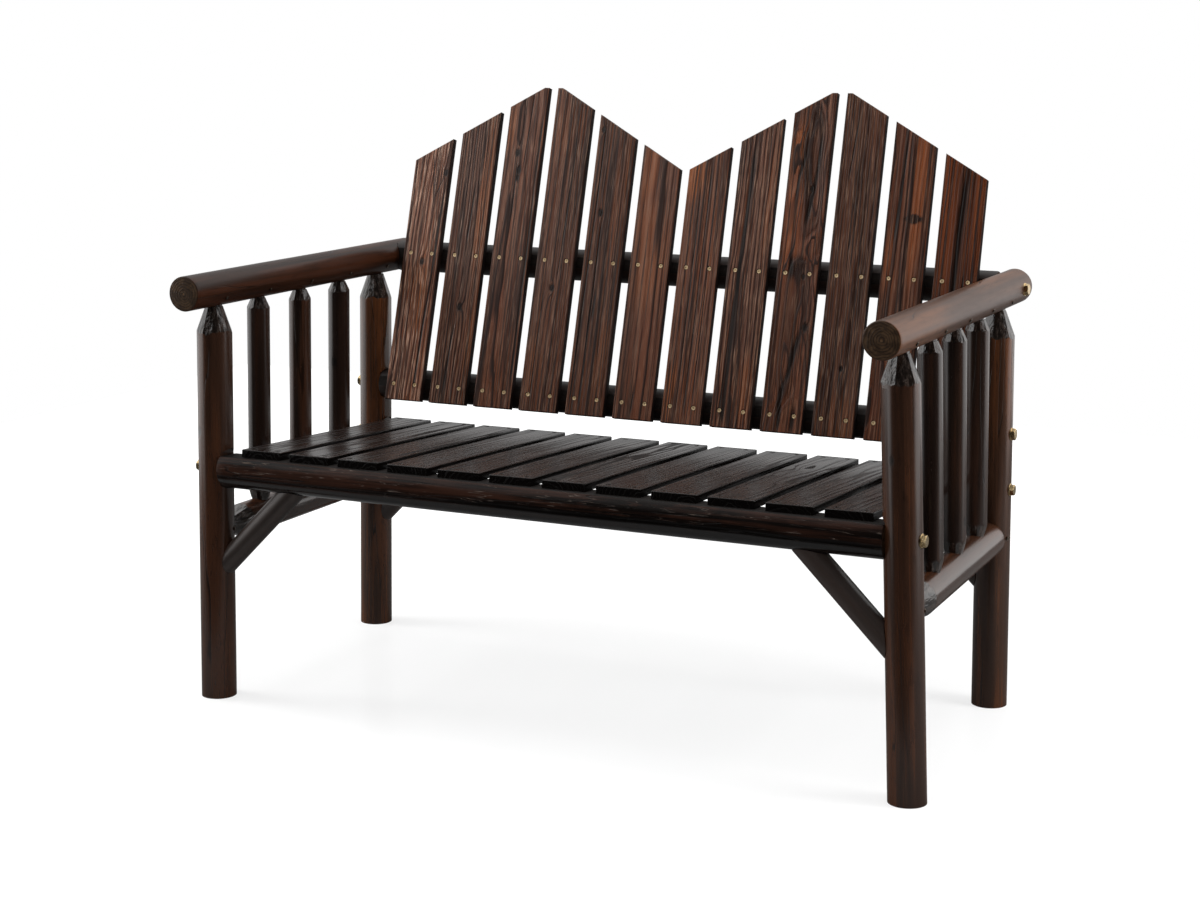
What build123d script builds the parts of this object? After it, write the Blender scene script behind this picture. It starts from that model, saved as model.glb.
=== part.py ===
from build123d import *
from math import atan, cos, degrees, hypot, radians, sin, sqrt, tan
import os

# Garden loveseat built from round fir logs and boards. Millimetres, +Z up, front towards -Y.
# Bench coordinates have x from the middle between the arms, y from the middle between the
# post rows and z from the floor. at() moves them to the part's own origin.

# Log stock
post_d = 59.0
arm_d = 58.0
seat_rail_d = 66.0
cross_rail_d = 57.0
stretcher_d = 57.0
spindle_d = 39.0
brace_d = 39.0

# Places of the log axes
post_spacing_x = 1178.0
post_spacing_y = 514.0
arm_z = 690.0
stretcher_z = 286.0
front_rail_z = 391.0
rear_rail_z = 365.5
lower_rail_z = 458.5
upper_rail_setback = 66.0
arm_front_overhang = 84.5
arm_rear_overhang = 110.5
right_spindle_shift = 13.0
front_brace_leg = 118.0
rear_brace_leg = 112.0

# Outward lean of each post's foot in degrees, as found on the hand-built frame
post_lean = {"front_left": 0.5, "front_right": 2.0, "rear_left": 0.6, "rear_right": 0.2}
corner_signs = {"front_left": (-1, -1), "front_right": (1, -1), "rear_left": (-1, 1), "rear_right": (1, 1)}
side_signs = {"left": -1, "right": 1}

# Carved ends and tenons
facets = 9
spindle_facets = 8
head_taper = 45.0
stretcher_taper = 44.0
spindle_top_taper = 19.0
spindle_foot_taper = 20.0
head_neck_d = 28.0
spindle_neck_d = 22.0
spindle_foot_d = 29.0
tenon_d = 26.0
tenon_depth = 30.0
spindle_tenon_d = 18.0
spindle_tenon_depth = 32.0
facet_allowance = 0.6

# Housings, planed flats and edges
housing_depth = 8.0
arm_housing_depth = 12.0
front_rail_flat = 11.2
rear_rail_flat = 13.5
back_rail_flat = 2.0
foot_chamfer = 2.0
arm_end_round = 2.5
rail_end_round = 3.0

# Boards
slat_width = 74.0
slat_thick = 13.0
slat_pitch = 92.4
slat_count = 12
slat_edge_round = 1.6
seat_lead = 8.0
seat_lap = 4.0
seat_skew = 1.8
seat_shift = 2.5
back_drop = 33.3
eaves_height = 415.5
peak_height = 568.6
peak_clip = 9.0

# Fasteners
bolt_d = 10.0
bolt_head_across = 17.0
bolt_head_height = 6.4
bolt_grip_in_rail = 30.0
washer_d = 22.0
washer_thick = 2.0
screw_d = 4.0
screw_head_d = 8.4
screw_length = 34.0
screw_inset = 15.0
screw_row_inset = 15.0
lower_screw_drop = 4.0
screw_sink = 0.8
screw_socket_d = 3.4
screw_socket_depth = 1.6
nail_d = 3.0
nail_head_d = 6.5
nail_head_thick = 1.2
nail_length = 34.0
arm_nail_angle = 29.0
post_nail_angle = 20.0

# Clearances
fit_gap = 0.3
overrun = 10.0

half_x = post_spacing_x / 2
half_y = post_spacing_y / 2
seat_tilt = degrees(atan(((front_rail_z + seat_rail_d / 2 - front_rail_flat)
                          - (rear_rail_z + cross_rail_d / 2 - rear_rail_flat)) / post_spacing_y))
recline = degrees(atan(upper_rail_setback / (arm_z - lower_rail_z)))
screw_row_span = hypot(upper_rail_setback, arm_z - lower_rail_z)
boards_width = (slat_count - 1) * slat_pitch + slat_width
per_gable = slat_count // 2
gable_half = ((per_gable - 1) * slat_pitch + slat_width) / 2
rake = (peak_height - eaves_height) / gable_half


def post_x(corner, z):
    side, _ = corner_signs[corner]
    return side * (half_x + (arm_z - z) * tan(radians(post_lean[corner])))


def spot_depth(log_d):
    return log_d / 2 - sqrt((log_d / 2) ** 2 - (washer_d / 2 + fit_gap) ** 2)


def bolt_seat(corner, z):
    side, _ = corner_signs[corner]
    return post_x(corner, z) + side * (post_d / 2 - spot_depth(post_d))


def gable_height(x):
    centre = -boards_width / 2 + gable_half + (x > 0) * per_gable * slat_pitch
    return peak_height - rake * abs(x - centre)


# Rails: y and z of the axis, diameter, turn of the planed flat's normal and its distance from the axis
seat_turn, back_turn = 90 - seat_tilt, 180 - recline
rails = {
    "front_seat_rail": (-half_y, front_rail_z, seat_rail_d, seat_turn,
                        (seat_rail_d / 2 - front_rail_flat) * cos(radians(seat_tilt))),
    "rear_seat_rail": (half_y, rear_rail_z, cross_rail_d, seat_turn,
                       (cross_rail_d / 2 - rear_rail_flat) * cos(radians(seat_tilt))),
    "lower_back_rail": (half_y, lower_rail_z, cross_rail_d, back_turn, cross_rail_d / 2 - back_rail_flat),
    "upper_back_rail": (half_y + upper_rail_setback, arm_z, cross_rail_d, back_turn,
                        cross_rail_d / 2 - back_rail_flat),
}
post_rails = {"front": ["front_seat_rail"], "rear": ["rear_seat_rail", "lower_back_rail"]}


def bolt_place(rail, side):
    y, z = rails[rail][:2]
    if rail == "upper_back_rail":
        return side_signs[side] * (half_x + arm_d / 2 - spot_depth(arm_d))
    row = "front_" if rail == "front_seat_rail" else "rear_"
    return bolt_seat(row + side, z)


# Reach of the whole bench on each side, from which its origin is centred
bolt_stack = washer_thick + bolt_head_height
gable_gap_half = (slat_pitch - slat_width) / 2
summit = peak_height - rake * (gable_gap_half + peak_clip)
side_reach = {side: max([abs(bolt_place(rail, side)) + bolt_stack for rail in rails]
                        + [abs(post_x(row + "_" + side, foot_chamfer)) + post_d / 2 for row in post_rails])
              for side in side_signs}
front_reach = half_y + arm_front_overhang
rear_reach = max(half_y + arm_rear_overhang,
                 half_y + summit * sin(radians(recline))
                 - (cross_rail_d / 2 - back_rail_flat + fit_gap) * cos(radians(recline)))
centre_x = (side_reach["right"] - side_reach["left"]) / 2
centre_y = (rear_reach - front_reach) / 2


def at(x, y, z):
    return Vector(x - centre_x, y - centre_y, z)


def post_axis(corner):
    side, row = corner_signs[corner]
    lean = radians(post_lean[corner])
    return Plane(origin=at(post_x(corner, 0), row * half_y, 0), x_dir=(cos(lean), 0, side * sin(lean)),
                 z_dir=(-side * sin(lean), 0, cos(lean)))


def along_post(corner, z):
    return z / cos(radians(post_lean[corner]))


def stretcher_point(side, y):
    front = post_x("front_" + side, stretcher_z)
    rear = post_x("rear_" + side, stretcher_z)
    return at(front + (rear - front) * (y + half_y) / post_spacing_y, y, stretcher_z)


def stretcher_axis(side):
    front, rear = stretcher_point(side, -half_y), stretcher_point(side, half_y)
    return Plane(origin=front, x_dir=(0, 0, 1), z_dir=rear - front)


def spindle_ys(side):
    shift = right_spindle_shift if side == "right" else 0
    return [shift + (k - 1) * post_spacing_y / 4 for k in range(3)]


def spindle_axis(side, y):
    foot = stretcher_point(side, y)
    return Plane(origin=foot, x_dir=(0, 1, 0), z_dir=at(side_signs[side] * half_x, y, arm_z) - foot)


def spindle_span(side, y):
    return (at(side_signs[side] * half_x, y, arm_z) - stretcher_point(side, y)).length


def rail_end(rail, side):
    sign = side_signs[side]
    if rail == "upper_back_rail":
        return sign * (half_x - arm_d / 2 + arm_housing_depth)
    row = "front_" if rail == "front_seat_rail" else "rear_"
    return post_x(row + side, rails[rail][1]) - sign * (post_d / 2 - housing_depth)


def bolt_axis(rail, side):
    y, z = rails[rail][:2]
    return Plane(origin=at(bolt_place(rail, side), y, z), x_dir=(0, 1, 0), z_dir=(side_signs[side], 0, 0))


# Flat planes that the boards lie on
seat_plane = Plane(origin=at(0, -half_y, front_rail_z + seat_rail_d / 2 - front_rail_flat), x_dir=(1, 0, 0),
                   z_dir=(0, sin(radians(seat_tilt)), cos(radians(seat_tilt))))
seat_run = post_spacing_y / cos(radians(seat_tilt))
seat_rows = (screw_row_inset - seat_lead, seat_run + seat_lap - screw_row_inset)
back_reach = cross_rail_d / 2 - back_rail_flat
back_plane = Plane(origin=at(0, half_y - back_reach * cos(radians(recline)),
                             lower_rail_z + back_reach * sin(radians(recline))),
                   x_dir=(1, 0, 0), z_dir=(0, -cos(radians(recline)), sin(radians(recline))))
back_rows = (-lower_screw_drop, screw_row_span)


def board_left(index):
    return -boards_width / 2 + index * slat_pitch


def askew(index, x, y):
    turn = radians(seat_skew)
    middle = board_left(index) + slat_width / 2
    half_run = seat_run / 2
    return (middle + seat_shift + (x - middle) * cos(turn) - (y - half_run) * sin(turn),
            half_run + (x - middle) * sin(turn) + (y - half_run) * cos(turn))


def screw_points(index, row):
    left = board_left(index)
    points = [(left + screw_inset, row), (left + slat_width - screw_inset, row)]
    return [askew(index, *point) for point in points] if row in seat_rows else points


# Nails, each driven towards a log's axis: surface plane and the two pieces that it pins
nails = []
for side, sign in side_signs.items():
    turn = radians(arm_nail_angle)
    out = Vector(cos(turn), 0, -sin(turn))
    pinned = [(side + "_spindle_" + str(k + 1), y) for k, y in enumerate(spindle_ys(side))]
    pinned += [("front_" + side + "_post", -half_y), ("rear_" + side + "_post", half_y)]
    for name, y in pinned:
        surface = at(sign * half_x, y, arm_z) + out * (arm_d / 2)
        nails.append((Plane(origin=surface, x_dir=(0, 1, 0), z_dir=out), (name, side + "_armrest")))
    for row, toward in (("front_", 1), ("rear_", -1)):
        turn = radians(post_nail_angle)
        out = Vector(cos(turn), toward * sin(turn), 0)
        centre = at(post_x(row + side, stretcher_z), -toward * half_y, stretcher_z)
        nails.append((Plane(origin=centre + out * (post_d / 2), x_dir=(0, 0, 1), z_dir=out),
                      (row + side + "_post", side + "_side_stretcher")))


def nail_planes(piece):
    return [plane for plane, pair in nails if piece in pair]


def save(part, label):
    part.label = label
    export_step(part, "parts/" + label + ".step")


os.makedirs("parts", exist_ok=True)

# Upright posts: carved head, tenon, rail housings with bolt bores, stretcher mortise
for corner, (side, row) in corner_signs.items():
    axis = post_axis(corner)
    neck = along_post(corner, arm_z - arm_d / 2)
    shoulder = neck - head_taper
    mortise_axis = stretcher_axis("left" if side < 0 else "right")
    with BuildPart() as post:
        with BuildSketch(axis.offset(-overrun)):
            Circle(post_d / 2)
        extrude(amount=overrun + neck)
        stations = ((-overrun, post_d + facet_allowance), (shoulder, post_d + facet_allowance), (neck, head_neck_d))
        for reach, across in stations:
            with BuildSketch(axis.offset(reach)):
                RegularPolygon(across / 2, facets, major_radius=False)
        loft(ruled=True, mode=Mode.INTERSECT)
        with BuildSketch(axis.offset(neck - overrun)):
            Circle(tenon_d / 2)
        extrude(amount=overrun + tenon_depth)
        split(bisect_by=Plane.XY, keep=Keep.TOP)
        chamfer(post.edges().group_by(Axis.Z)[0], length=foot_chamfer)
        for rail in post_rails[corner.split("_")[0]]:
            y, z, rail_d, turn, flat = rails[rail]
            floor = rail_end(rail, corner.split("_")[1]) + side * fit_gap
            with BuildSketch(Plane(origin=at(floor, y, z), x_dir=(0, 1, 0), z_dir=(1, 0, 0))):
                Circle(rail_d / 2 + fit_gap)
                with PolarLocations(flat + fit_gap + rail_d, 1, start_angle=turn):
                    Rectangle(rail_d * 2, rail_d * 2, mode=Mode.SUBTRACT)
            extrude(amount=-side * post_d, mode=Mode.SUBTRACT)
            bolt = bolt_axis(rail, corner.split("_")[1])
            with BuildSketch(bolt):
                Circle(washer_d / 2 + fit_gap)
            extrude(amount=overrun, mode=Mode.SUBTRACT)
            with BuildSketch(bolt.offset(overrun)):
                Circle(bolt_d / 2 + fit_gap)
            extrude(amount=-(overrun + post_d), mode=Mode.SUBTRACT)
        inner = mortise_axis if row < 0 else mortise_axis.offset(post_spacing_y)
        with BuildSketch(inner.offset(-row * (post_d / 2 - tenon_depth - fit_gap))):
            Circle(tenon_d / 2 + fit_gap)
        extrude(amount=-row * (tenon_depth + overrun), mode=Mode.SUBTRACT)
        for plane in nail_planes(corner + "_post"):
            with BuildSketch(plane.offset(overrun)):
                Circle(nail_d / 2 + fit_gap)
            extrude(amount=-(overrun + nail_length + fit_gap), mode=Mode.SUBTRACT)
    save(post.part, corner + "_post")

# Armrests: mortises for posts and spindles, housing and bore for the upper back rail
for side, sign in side_signs.items():
    label = side + "_armrest"
    arm_length = arm_front_overhang + post_spacing_y + arm_rear_overhang
    front_end = Plane(origin=at(sign * half_x, -half_y - arm_front_overhang, arm_z), x_dir=(1, 0, 0), z_dir=(0, 1, 0))
    y, z, rail_d, turn, flat = rails["upper_back_rail"]
    floor = rail_end("upper_back_rail", side) + sign * fit_gap
    bolt = bolt_axis("upper_back_rail", side)
    with BuildPart() as arm:
        with BuildSketch(front_end):
            Circle(arm_d / 2)
        extrude(amount=arm_length)
        fillet(arm.edges().filter_by(GeomType.CIRCLE), radius=arm_end_round)
        for corner in ("front_" + side, "rear_" + side):
            top = along_post(corner, arm_z - arm_d / 2) + tenon_depth + fit_gap
            with BuildSketch(post_axis(corner).offset(top)):
                Circle(tenon_d / 2 + fit_gap)
            extrude(amount=-(tenon_depth + overrun), mode=Mode.SUBTRACT)
        for spindle_y in spindle_ys(side):
            top = spindle_span(side, spindle_y) - arm_d / 2 + spindle_tenon_depth + fit_gap
            with BuildSketch(spindle_axis(side, spindle_y).offset(top)):
                Circle(spindle_tenon_d / 2 + fit_gap)
            extrude(amount=-(spindle_tenon_depth + overrun), mode=Mode.SUBTRACT)
        with BuildSketch(Plane(origin=at(floor, y, z), x_dir=(0, 1, 0), z_dir=(1, 0, 0))):
            Circle(rail_d / 2 + fit_gap)
            with PolarLocations(flat + fit_gap + rail_d, 1, start_angle=turn):
                Rectangle(rail_d * 2, rail_d * 2, mode=Mode.SUBTRACT)
        extrude(amount=-sign * arm_d, mode=Mode.SUBTRACT)
        with BuildSketch(bolt):
            Circle(washer_d / 2 + fit_gap)
        extrude(amount=overrun, mode=Mode.SUBTRACT)
        with BuildSketch(bolt.offset(overrun)):
            Circle(bolt_d / 2 + fit_gap)
        extrude(amount=-(overrun + arm_d), mode=Mode.SUBTRACT)
        for plane in nail_planes(label):
            with BuildSketch(plane.offset(overrun)):
                Circle(nail_d / 2 + fit_gap)
            extrude(amount=-(overrun + nail_length + fit_gap), mode=Mode.SUBTRACT)
    save(arm.part, label)

# Side stretchers: carved to a point at the front post, square shoulder at the rear post
for side in side_signs:
    label = side + "_side_stretcher"
    axis = stretcher_axis(side)
    front_neck = post_d / 2 + fit_gap
    rear_shoulder = post_spacing_y - post_d / 2 - fit_gap
    with BuildPart() as stretcher:
        with BuildSketch(axis.offset(front_neck)):
            Circle(stretcher_d / 2)
        extrude(amount=rear_shoulder - front_neck)
        fillet(stretcher.edges().filter_by(GeomType.CIRCLE).sort_by(Axis.Y)[-1], radius=foot_chamfer)
        stations = ((front_neck, head_neck_d), (front_neck + stretcher_taper, stretcher_d + facet_allowance),
                    (rear_shoulder, stretcher_d + facet_allowance))
        for reach, across in stations:
            with BuildSketch(axis.offset(reach)):
                RegularPolygon(across / 2, facets, major_radius=False)
        loft(ruled=True, mode=Mode.INTERSECT)
        tip = post_d / 2 - tenon_depth
        with BuildSketch(axis.offset(tip)):
            Circle(tenon_d / 2)
        extrude(amount=tenon_depth + overrun)
        with BuildSketch(axis.offset(rear_shoulder - overrun)):
            Circle(tenon_d / 2)
        extrude(amount=post_spacing_y - tip - rear_shoulder + overrun)
        for spindle_y in spindle_ys(side):
            low = stretcher_d / 2 - spindle_tenon_depth - fit_gap
            with BuildSketch(spindle_axis(side, spindle_y).offset(low)):
                Circle(spindle_tenon_d / 2 + fit_gap)
            extrude(amount=spindle_tenon_depth + overrun, mode=Mode.SUBTRACT)
        for plane in nail_planes(label):
            with BuildSketch(plane.offset(overrun)):
                Circle(nail_d / 2 + fit_gap)
            extrude(amount=-(overrun + nail_length + fit_gap), mode=Mode.SUBTRACT)
    save(stretcher.part, label)

# Spindles: carved at both ends, tenoned into stretcher and armrest
for side in side_signs:
    for number, spindle_y in enumerate(spindle_ys(side), start=1):
        label = side + "_spindle_" + str(number)
        axis = spindle_axis(side, spindle_y)
        foot_neck = stretcher_d / 2 + fit_gap
        top_neck = spindle_span(side, spindle_y) - arm_d / 2 - fit_gap
        with BuildPart() as spindle:
            with BuildSketch(axis.offset(foot_neck)):
                Circle(spindle_d / 2)
            extrude(amount=top_neck - foot_neck)
            stations = ((foot_neck, spindle_foot_d), (foot_neck + spindle_foot_taper, spindle_d + facet_allowance),
                        (top_neck - spindle_top_taper, spindle_d + facet_allowance), (top_neck, spindle_neck_d))
            for reach, across in stations:
                with BuildSketch(axis.offset(reach)):
                    RegularPolygon(across / 2, spindle_facets, major_radius=False)
            loft(ruled=True, mode=Mode.INTERSECT)
            with BuildSketch(axis.offset(stretcher_d / 2 - spindle_tenon_depth)):
                Circle(spindle_tenon_d / 2)
            extrude(amount=spindle_span(side, spindle_y) + spindle_tenon_depth * 2 - (arm_d + stretcher_d) / 2)
            for plane in nail_planes(label):
                with BuildSketch(plane.offset(overrun)):
                    Circle(nail_d / 2 + fit_gap)
                extrude(amount=-(overrun + nail_length + fit_gap), mode=Mode.SUBTRACT)
        save(spindle.part, label)

# Cross rails: planed flat for the boards, screw pilots, bolt bores in both ends
for label, (y, z, rail_d, turn, flat) in rails.items():
    left_end, right_end = rail_end(label, "left"), rail_end(label, "right")
    seat = "seat" in label
    flat_plane = seat_plane if seat else back_plane
    rows = dict(front_seat_rail=seat_rows[0], rear_seat_rail=seat_rows[1],
                lower_back_rail=back_rows[0], upper_back_rail=back_rows[1])
    with BuildPart() as rail:
        with BuildSketch(Plane(origin=at(left_end, y, z), x_dir=(0, 1, 0), z_dir=(1, 0, 0))):
            Circle(rail_d / 2)
        extrude(amount=right_end - left_end)
        fillet(rail.edges().filter_by(GeomType.CIRCLE), radius=rail_end_round)
        with BuildSketch(Plane(origin=at(left_end, y, z), x_dir=(0, 1, 0), z_dir=(1, 0, 0))):
            with PolarLocations(flat + rail_d, 1, start_angle=turn):
                Rectangle(rail_d * 2, rail_d * 2)
        extrude(amount=right_end - left_end, mode=Mode.SUBTRACT)
        with BuildSketch(flat_plane):
            for index in range(slat_count):
                with Locations(*screw_points(index, rows[label])):
                    Circle(screw_d / 2 + fit_gap)
        extrude(amount=-(screw_length + fit_gap - slat_thick), mode=Mode.SUBTRACT)
        for end, inward in ((left_end, 1), (right_end, -1)):
            with BuildSketch(Plane(origin=at(end, y, z), x_dir=(0, 1, 0), z_dir=(inward, 0, 0))):
                Circle(bolt_d / 2 + fit_gap)
            extrude(amount=bolt_grip_in_rail + fit_gap, mode=Mode.SUBTRACT)
    save(rail.part, label)

# Braces: ends coped to the post and to the underside of the seat rail
for corner, (side, row) in corner_signs.items():
    y, z, rail_d, turn, flat = rails["front_seat_rail" if row < 0 else "rear_seat_rail"]
    leg = front_brace_leg if row < 0 else rear_brace_leg
    foot_z = z - rail_d / 2 - leg
    foot = at(post_x(corner, foot_z) - side * post_d / 2, y, foot_z)
    toward = Vector(-side, 0, 1).normalized()
    start = foot - toward * (post_d / 2)
    span = leg * sqrt(2) + (post_d + rail_d) / 2
    with BuildPart() as brace:
        with BuildSketch(Plane(origin=start, x_dir=(0, 1, 0), z_dir=toward)):
            Circle(brace_d / 2)
        extrude(amount=span)
        with BuildSketch(post_axis(corner)):
            Circle(post_d / 2 + fit_gap)
        extrude(amount=arm_z, mode=Mode.SUBTRACT)
        with BuildSketch(Plane(origin=at(0, y, z), x_dir=(0, 1, 0), z_dir=(1, 0, 0))):
            Circle(rail_d / 2 + fit_gap)
        extrude(amount=post_spacing_x / 2, both=True, mode=Mode.SUBTRACT)
    save(brace.part, corner + "_brace")

# Seat boards, front to back on the planed rails
for index in range(slat_count):
    left, right = board_left(index), board_left(index) + slat_width
    front, rear = -seat_lead, seat_run + seat_lap
    corners = [(left, front), (right, front), (right, rear), (left, rear)]
    lie = seat_plane.offset(fit_gap)
    with BuildPart() as board:
        with BuildSketch(lie):
            with BuildLine():
                Polyline(*[askew(index, x, y) for x, y in corners], close=True)
            make_face()
        extrude(amount=slat_thick)
        fillet(board.faces().sort_by(Axis(lie.origin, lie.z_dir))[-1].edges(), radius=slat_edge_round)
        for row in seat_rows:
            with Locations(lie.offset(slat_thick - screw_sink)):
                with Locations(*screw_points(index, row)):
                    CounterSinkHole(screw_d / 2 + fit_gap, screw_head_d / 2 + fit_gap)
            with BuildSketch(lie.offset(slat_thick - screw_sink)):
                with Locations(*screw_points(index, row)):
                    Circle(screw_head_d / 2 + fit_gap)
            extrude(amount=screw_sink * 2, mode=Mode.SUBTRACT)
    save(board.part, "seat_slat_%02d" % (index + 1))

# Back boards, with tops sawn to two gables
for index in range(slat_count):
    left = board_left(index)
    right = left + slat_width
    lie = back_plane.offset(fit_gap)
    tops = [(right, gable_height(right)), (left, gable_height(left))]
    if index % per_gable == (per_gable - 1) // 2:
        tops = [(right, gable_height(right - peak_clip)), (right - peak_clip, gable_height(right - peak_clip)), tops[1]]
    if index % per_gable == per_gable // 2:
        tops = [tops[0], (left + peak_clip, gable_height(left + peak_clip)), (left, gable_height(left + peak_clip))]
    with BuildPart() as board:
        with BuildSketch(lie):
            with BuildLine():
                Polyline((left, -back_drop), (right, -back_drop), *tops, close=True)
            make_face()
        extrude(amount=slat_thick)
        fillet(board.faces().sort_by(Axis(lie.origin, lie.z_dir))[-1].edges(), radius=slat_edge_round)
        for row in back_rows:
            with Locations(lie.offset(slat_thick - screw_sink)):
                with Locations(*screw_points(index, row)):
                    CounterSinkHole(screw_d / 2 + fit_gap, screw_head_d / 2 + fit_gap)
            with BuildSketch(lie.offset(slat_thick - screw_sink)):
                with Locations(*screw_points(index, row)):
                    Circle(screw_head_d / 2 + fit_gap)
            extrude(amount=screw_sink * 2, mode=Mode.SUBTRACT)
    save(board.part, "back_slat_%02d" % (index + 1))

# Countersunk screws with a round socket, one set for the seat and one for the back
for label, plane, rows in (("seat_slat_screws", seat_plane, seat_rows), ("back_slat_screws", back_plane, back_rows)):
    points = [point for index in range(slat_count) for row in rows for point in screw_points(index, row)]
    face = plane.offset(fit_gap + slat_thick - screw_sink)
    head_depth = (screw_head_d - screw_d) / 2
    with BuildPart() as screws:
        with BuildSketch(face):
            with Locations(*points):
                Circle(screw_head_d / 2)
        extrude(amount=-head_depth, taper=45)
        with BuildSketch(face.offset(-head_depth)):
            with Locations(*points):
                Circle(screw_d / 2)
        extrude(amount=-(screw_length - screw_sink - head_depth))
        with BuildSketch(face):
            with Locations(*points):
                Circle(screw_socket_d / 2)
        extrude(amount=-screw_socket_depth, mode=Mode.SUBTRACT)
    save(screws.part, label)

# Hexagon bolts and their washers at the eight rail ends
bolt_ends = [(rail, side) for rail in rails for side in side_signs]
with BuildPart() as bolts:
    for rail, side in bolt_ends:
        seat_face = bolt_axis(rail, side)
        shank = abs(bolt_place(rail, side) - rail_end(rail, side)) + bolt_grip_in_rail
        with BuildSketch(seat_face.offset(washer_thick)):
            RegularPolygon(bolt_head_across / 2, 6, major_radius=False)
        extrude(amount=bolt_head_height)
        with BuildSketch(seat_face.offset(washer_thick)):
            Circle(bolt_d / 2)
        extrude(amount=-(washer_thick + shank))
save(bolts.part, "frame_bolts")
with BuildPart() as washers:
    for rail, side in bolt_ends:
        with BuildSketch(bolt_axis(rail, side)):
            Circle(washer_d / 2)
            Circle(bolt_d / 2 + fit_gap, mode=Mode.SUBTRACT)
        extrude(amount=washer_thick)
save(washers.part, "bolt_washers")

# Nails that pin the tenons
with BuildPart() as nail_set:
    for plane, _ in nails:
        with BuildSketch(plane.offset(fit_gap)):
            Circle(nail_head_d / 2)
        extrude(amount=nail_head_thick)
        with BuildSketch(plane.offset(fit_gap)):
            Circle(nail_d / 2)
        extrude(amount=-nail_length)
save(nail_set.part, "tenon_nails")
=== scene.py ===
# %% [markdown]
# # A log loveseat, dressed for its portrait
# The bench is built from peeled fir logs and brushed boards. The solids come from the
# construction model; this lesson gives them carved log shapes, stain, grain and light.

# %% Load the frame
import math
import random

import bmesh
import bpy
from mathutils import Matrix, Vector, noise


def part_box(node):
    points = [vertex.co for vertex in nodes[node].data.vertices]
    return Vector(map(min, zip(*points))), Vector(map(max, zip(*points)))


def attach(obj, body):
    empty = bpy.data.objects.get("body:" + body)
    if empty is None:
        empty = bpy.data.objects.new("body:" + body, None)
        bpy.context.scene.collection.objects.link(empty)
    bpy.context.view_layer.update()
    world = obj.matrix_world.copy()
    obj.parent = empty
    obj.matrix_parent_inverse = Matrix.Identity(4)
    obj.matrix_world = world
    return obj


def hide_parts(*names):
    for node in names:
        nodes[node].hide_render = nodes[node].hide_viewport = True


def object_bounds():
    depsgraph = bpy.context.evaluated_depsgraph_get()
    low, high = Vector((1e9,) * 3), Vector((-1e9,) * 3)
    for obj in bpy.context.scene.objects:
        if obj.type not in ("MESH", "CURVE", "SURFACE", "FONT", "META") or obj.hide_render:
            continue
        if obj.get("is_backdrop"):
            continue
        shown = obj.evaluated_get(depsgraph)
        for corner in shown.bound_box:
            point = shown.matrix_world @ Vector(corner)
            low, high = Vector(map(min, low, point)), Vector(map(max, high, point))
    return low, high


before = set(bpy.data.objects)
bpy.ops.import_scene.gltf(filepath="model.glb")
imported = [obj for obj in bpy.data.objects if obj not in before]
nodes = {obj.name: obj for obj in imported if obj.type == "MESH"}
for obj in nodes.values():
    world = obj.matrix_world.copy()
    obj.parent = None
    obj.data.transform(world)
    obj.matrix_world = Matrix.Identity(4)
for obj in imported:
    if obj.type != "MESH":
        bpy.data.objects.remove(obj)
cad_box = [list(corner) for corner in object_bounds()]


def rounded(place):
    return [round(number, 3) for number in place]


print("solids:", len(nodes), "box:", [rounded(corner) for corner in cad_box])

# %% [markdown]
# The makers measured from the middle of the bench: halfway between the armrests, halfway
# between the post rows, and up from the floor. That spot could be typed in, but read from the
# armrests' boxes it stays right when the solids move.

# %% Where the middle of the bench is
HALF_WIDTH, HALF_DEPTH = 0.589, 0.257
ARM_HEIGHT, ARM_OVERHANG = 0.690, 0.0845
left_arm, right_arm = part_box("left_armrest"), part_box("right_armrest")
middle = Vector(((left_arm[0].x + right_arm[1].x) / 2,
                 left_arm[0].y + ARM_OVERHANG + HALF_DEPTH, 0))


def bench(x, y, z):
    return middle + Vector((x, y, z))


print("middle of the bench:", rounded(middle))

# %% [markdown]
# ## The camera
# The photograph was taken from the right, at chest height, with a normal lens turned down a
# little. A camera can be matched by eye. Here the straight posts and rails gave its place and
# its turn by calculation, which is surer, and a small upward shift keeps the crop.

# %% Camera
LENS, SENSOR, SHIFT_X, SHIFT_Y = 67.35, 36.0, 0.0003, -0.1210
TURN, DIP, ROLL = 0.4434, 0.1294, 0.0017
TRIPOD = (1.561, -3.302, 1.142)


def add_object(name, data):
    made = bpy.data.objects.new(name, data)
    bpy.context.scene.collection.objects.link(made)
    return made


ahead = Vector((-math.sin(TURN) * math.cos(DIP), math.cos(TURN) * math.cos(DIP), -math.sin(DIP)))
level = Vector((math.cos(TURN), math.sin(TURN), 0))
upward = level.cross(ahead)
across = level * math.cos(ROLL) + upward * math.sin(ROLL)
upward = upward * math.cos(ROLL) - level * math.sin(ROLL)

camera = add_object("camera", bpy.data.cameras.new("camera"))
camera.matrix_world = Matrix((across, upward, -ahead)).transposed().to_4x4()
camera.location = bench(*TRIPOD)
camera.data.lens, camera.data.sensor_width = LENS, SENSOR
camera.data.shift_x, camera.data.shift_y = SHIFT_X, SHIFT_Y
bpy.context.scene.camera = camera
print("camera at", rounded(camera.location))

# %% [markdown]
# ## Writing materials as sums
# A grain pattern is arithmetic on a place in the wood. It could be wired by hand, but this
# small class wraps one socket, so that it reads as Python and each sign adds a Math node.


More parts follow.
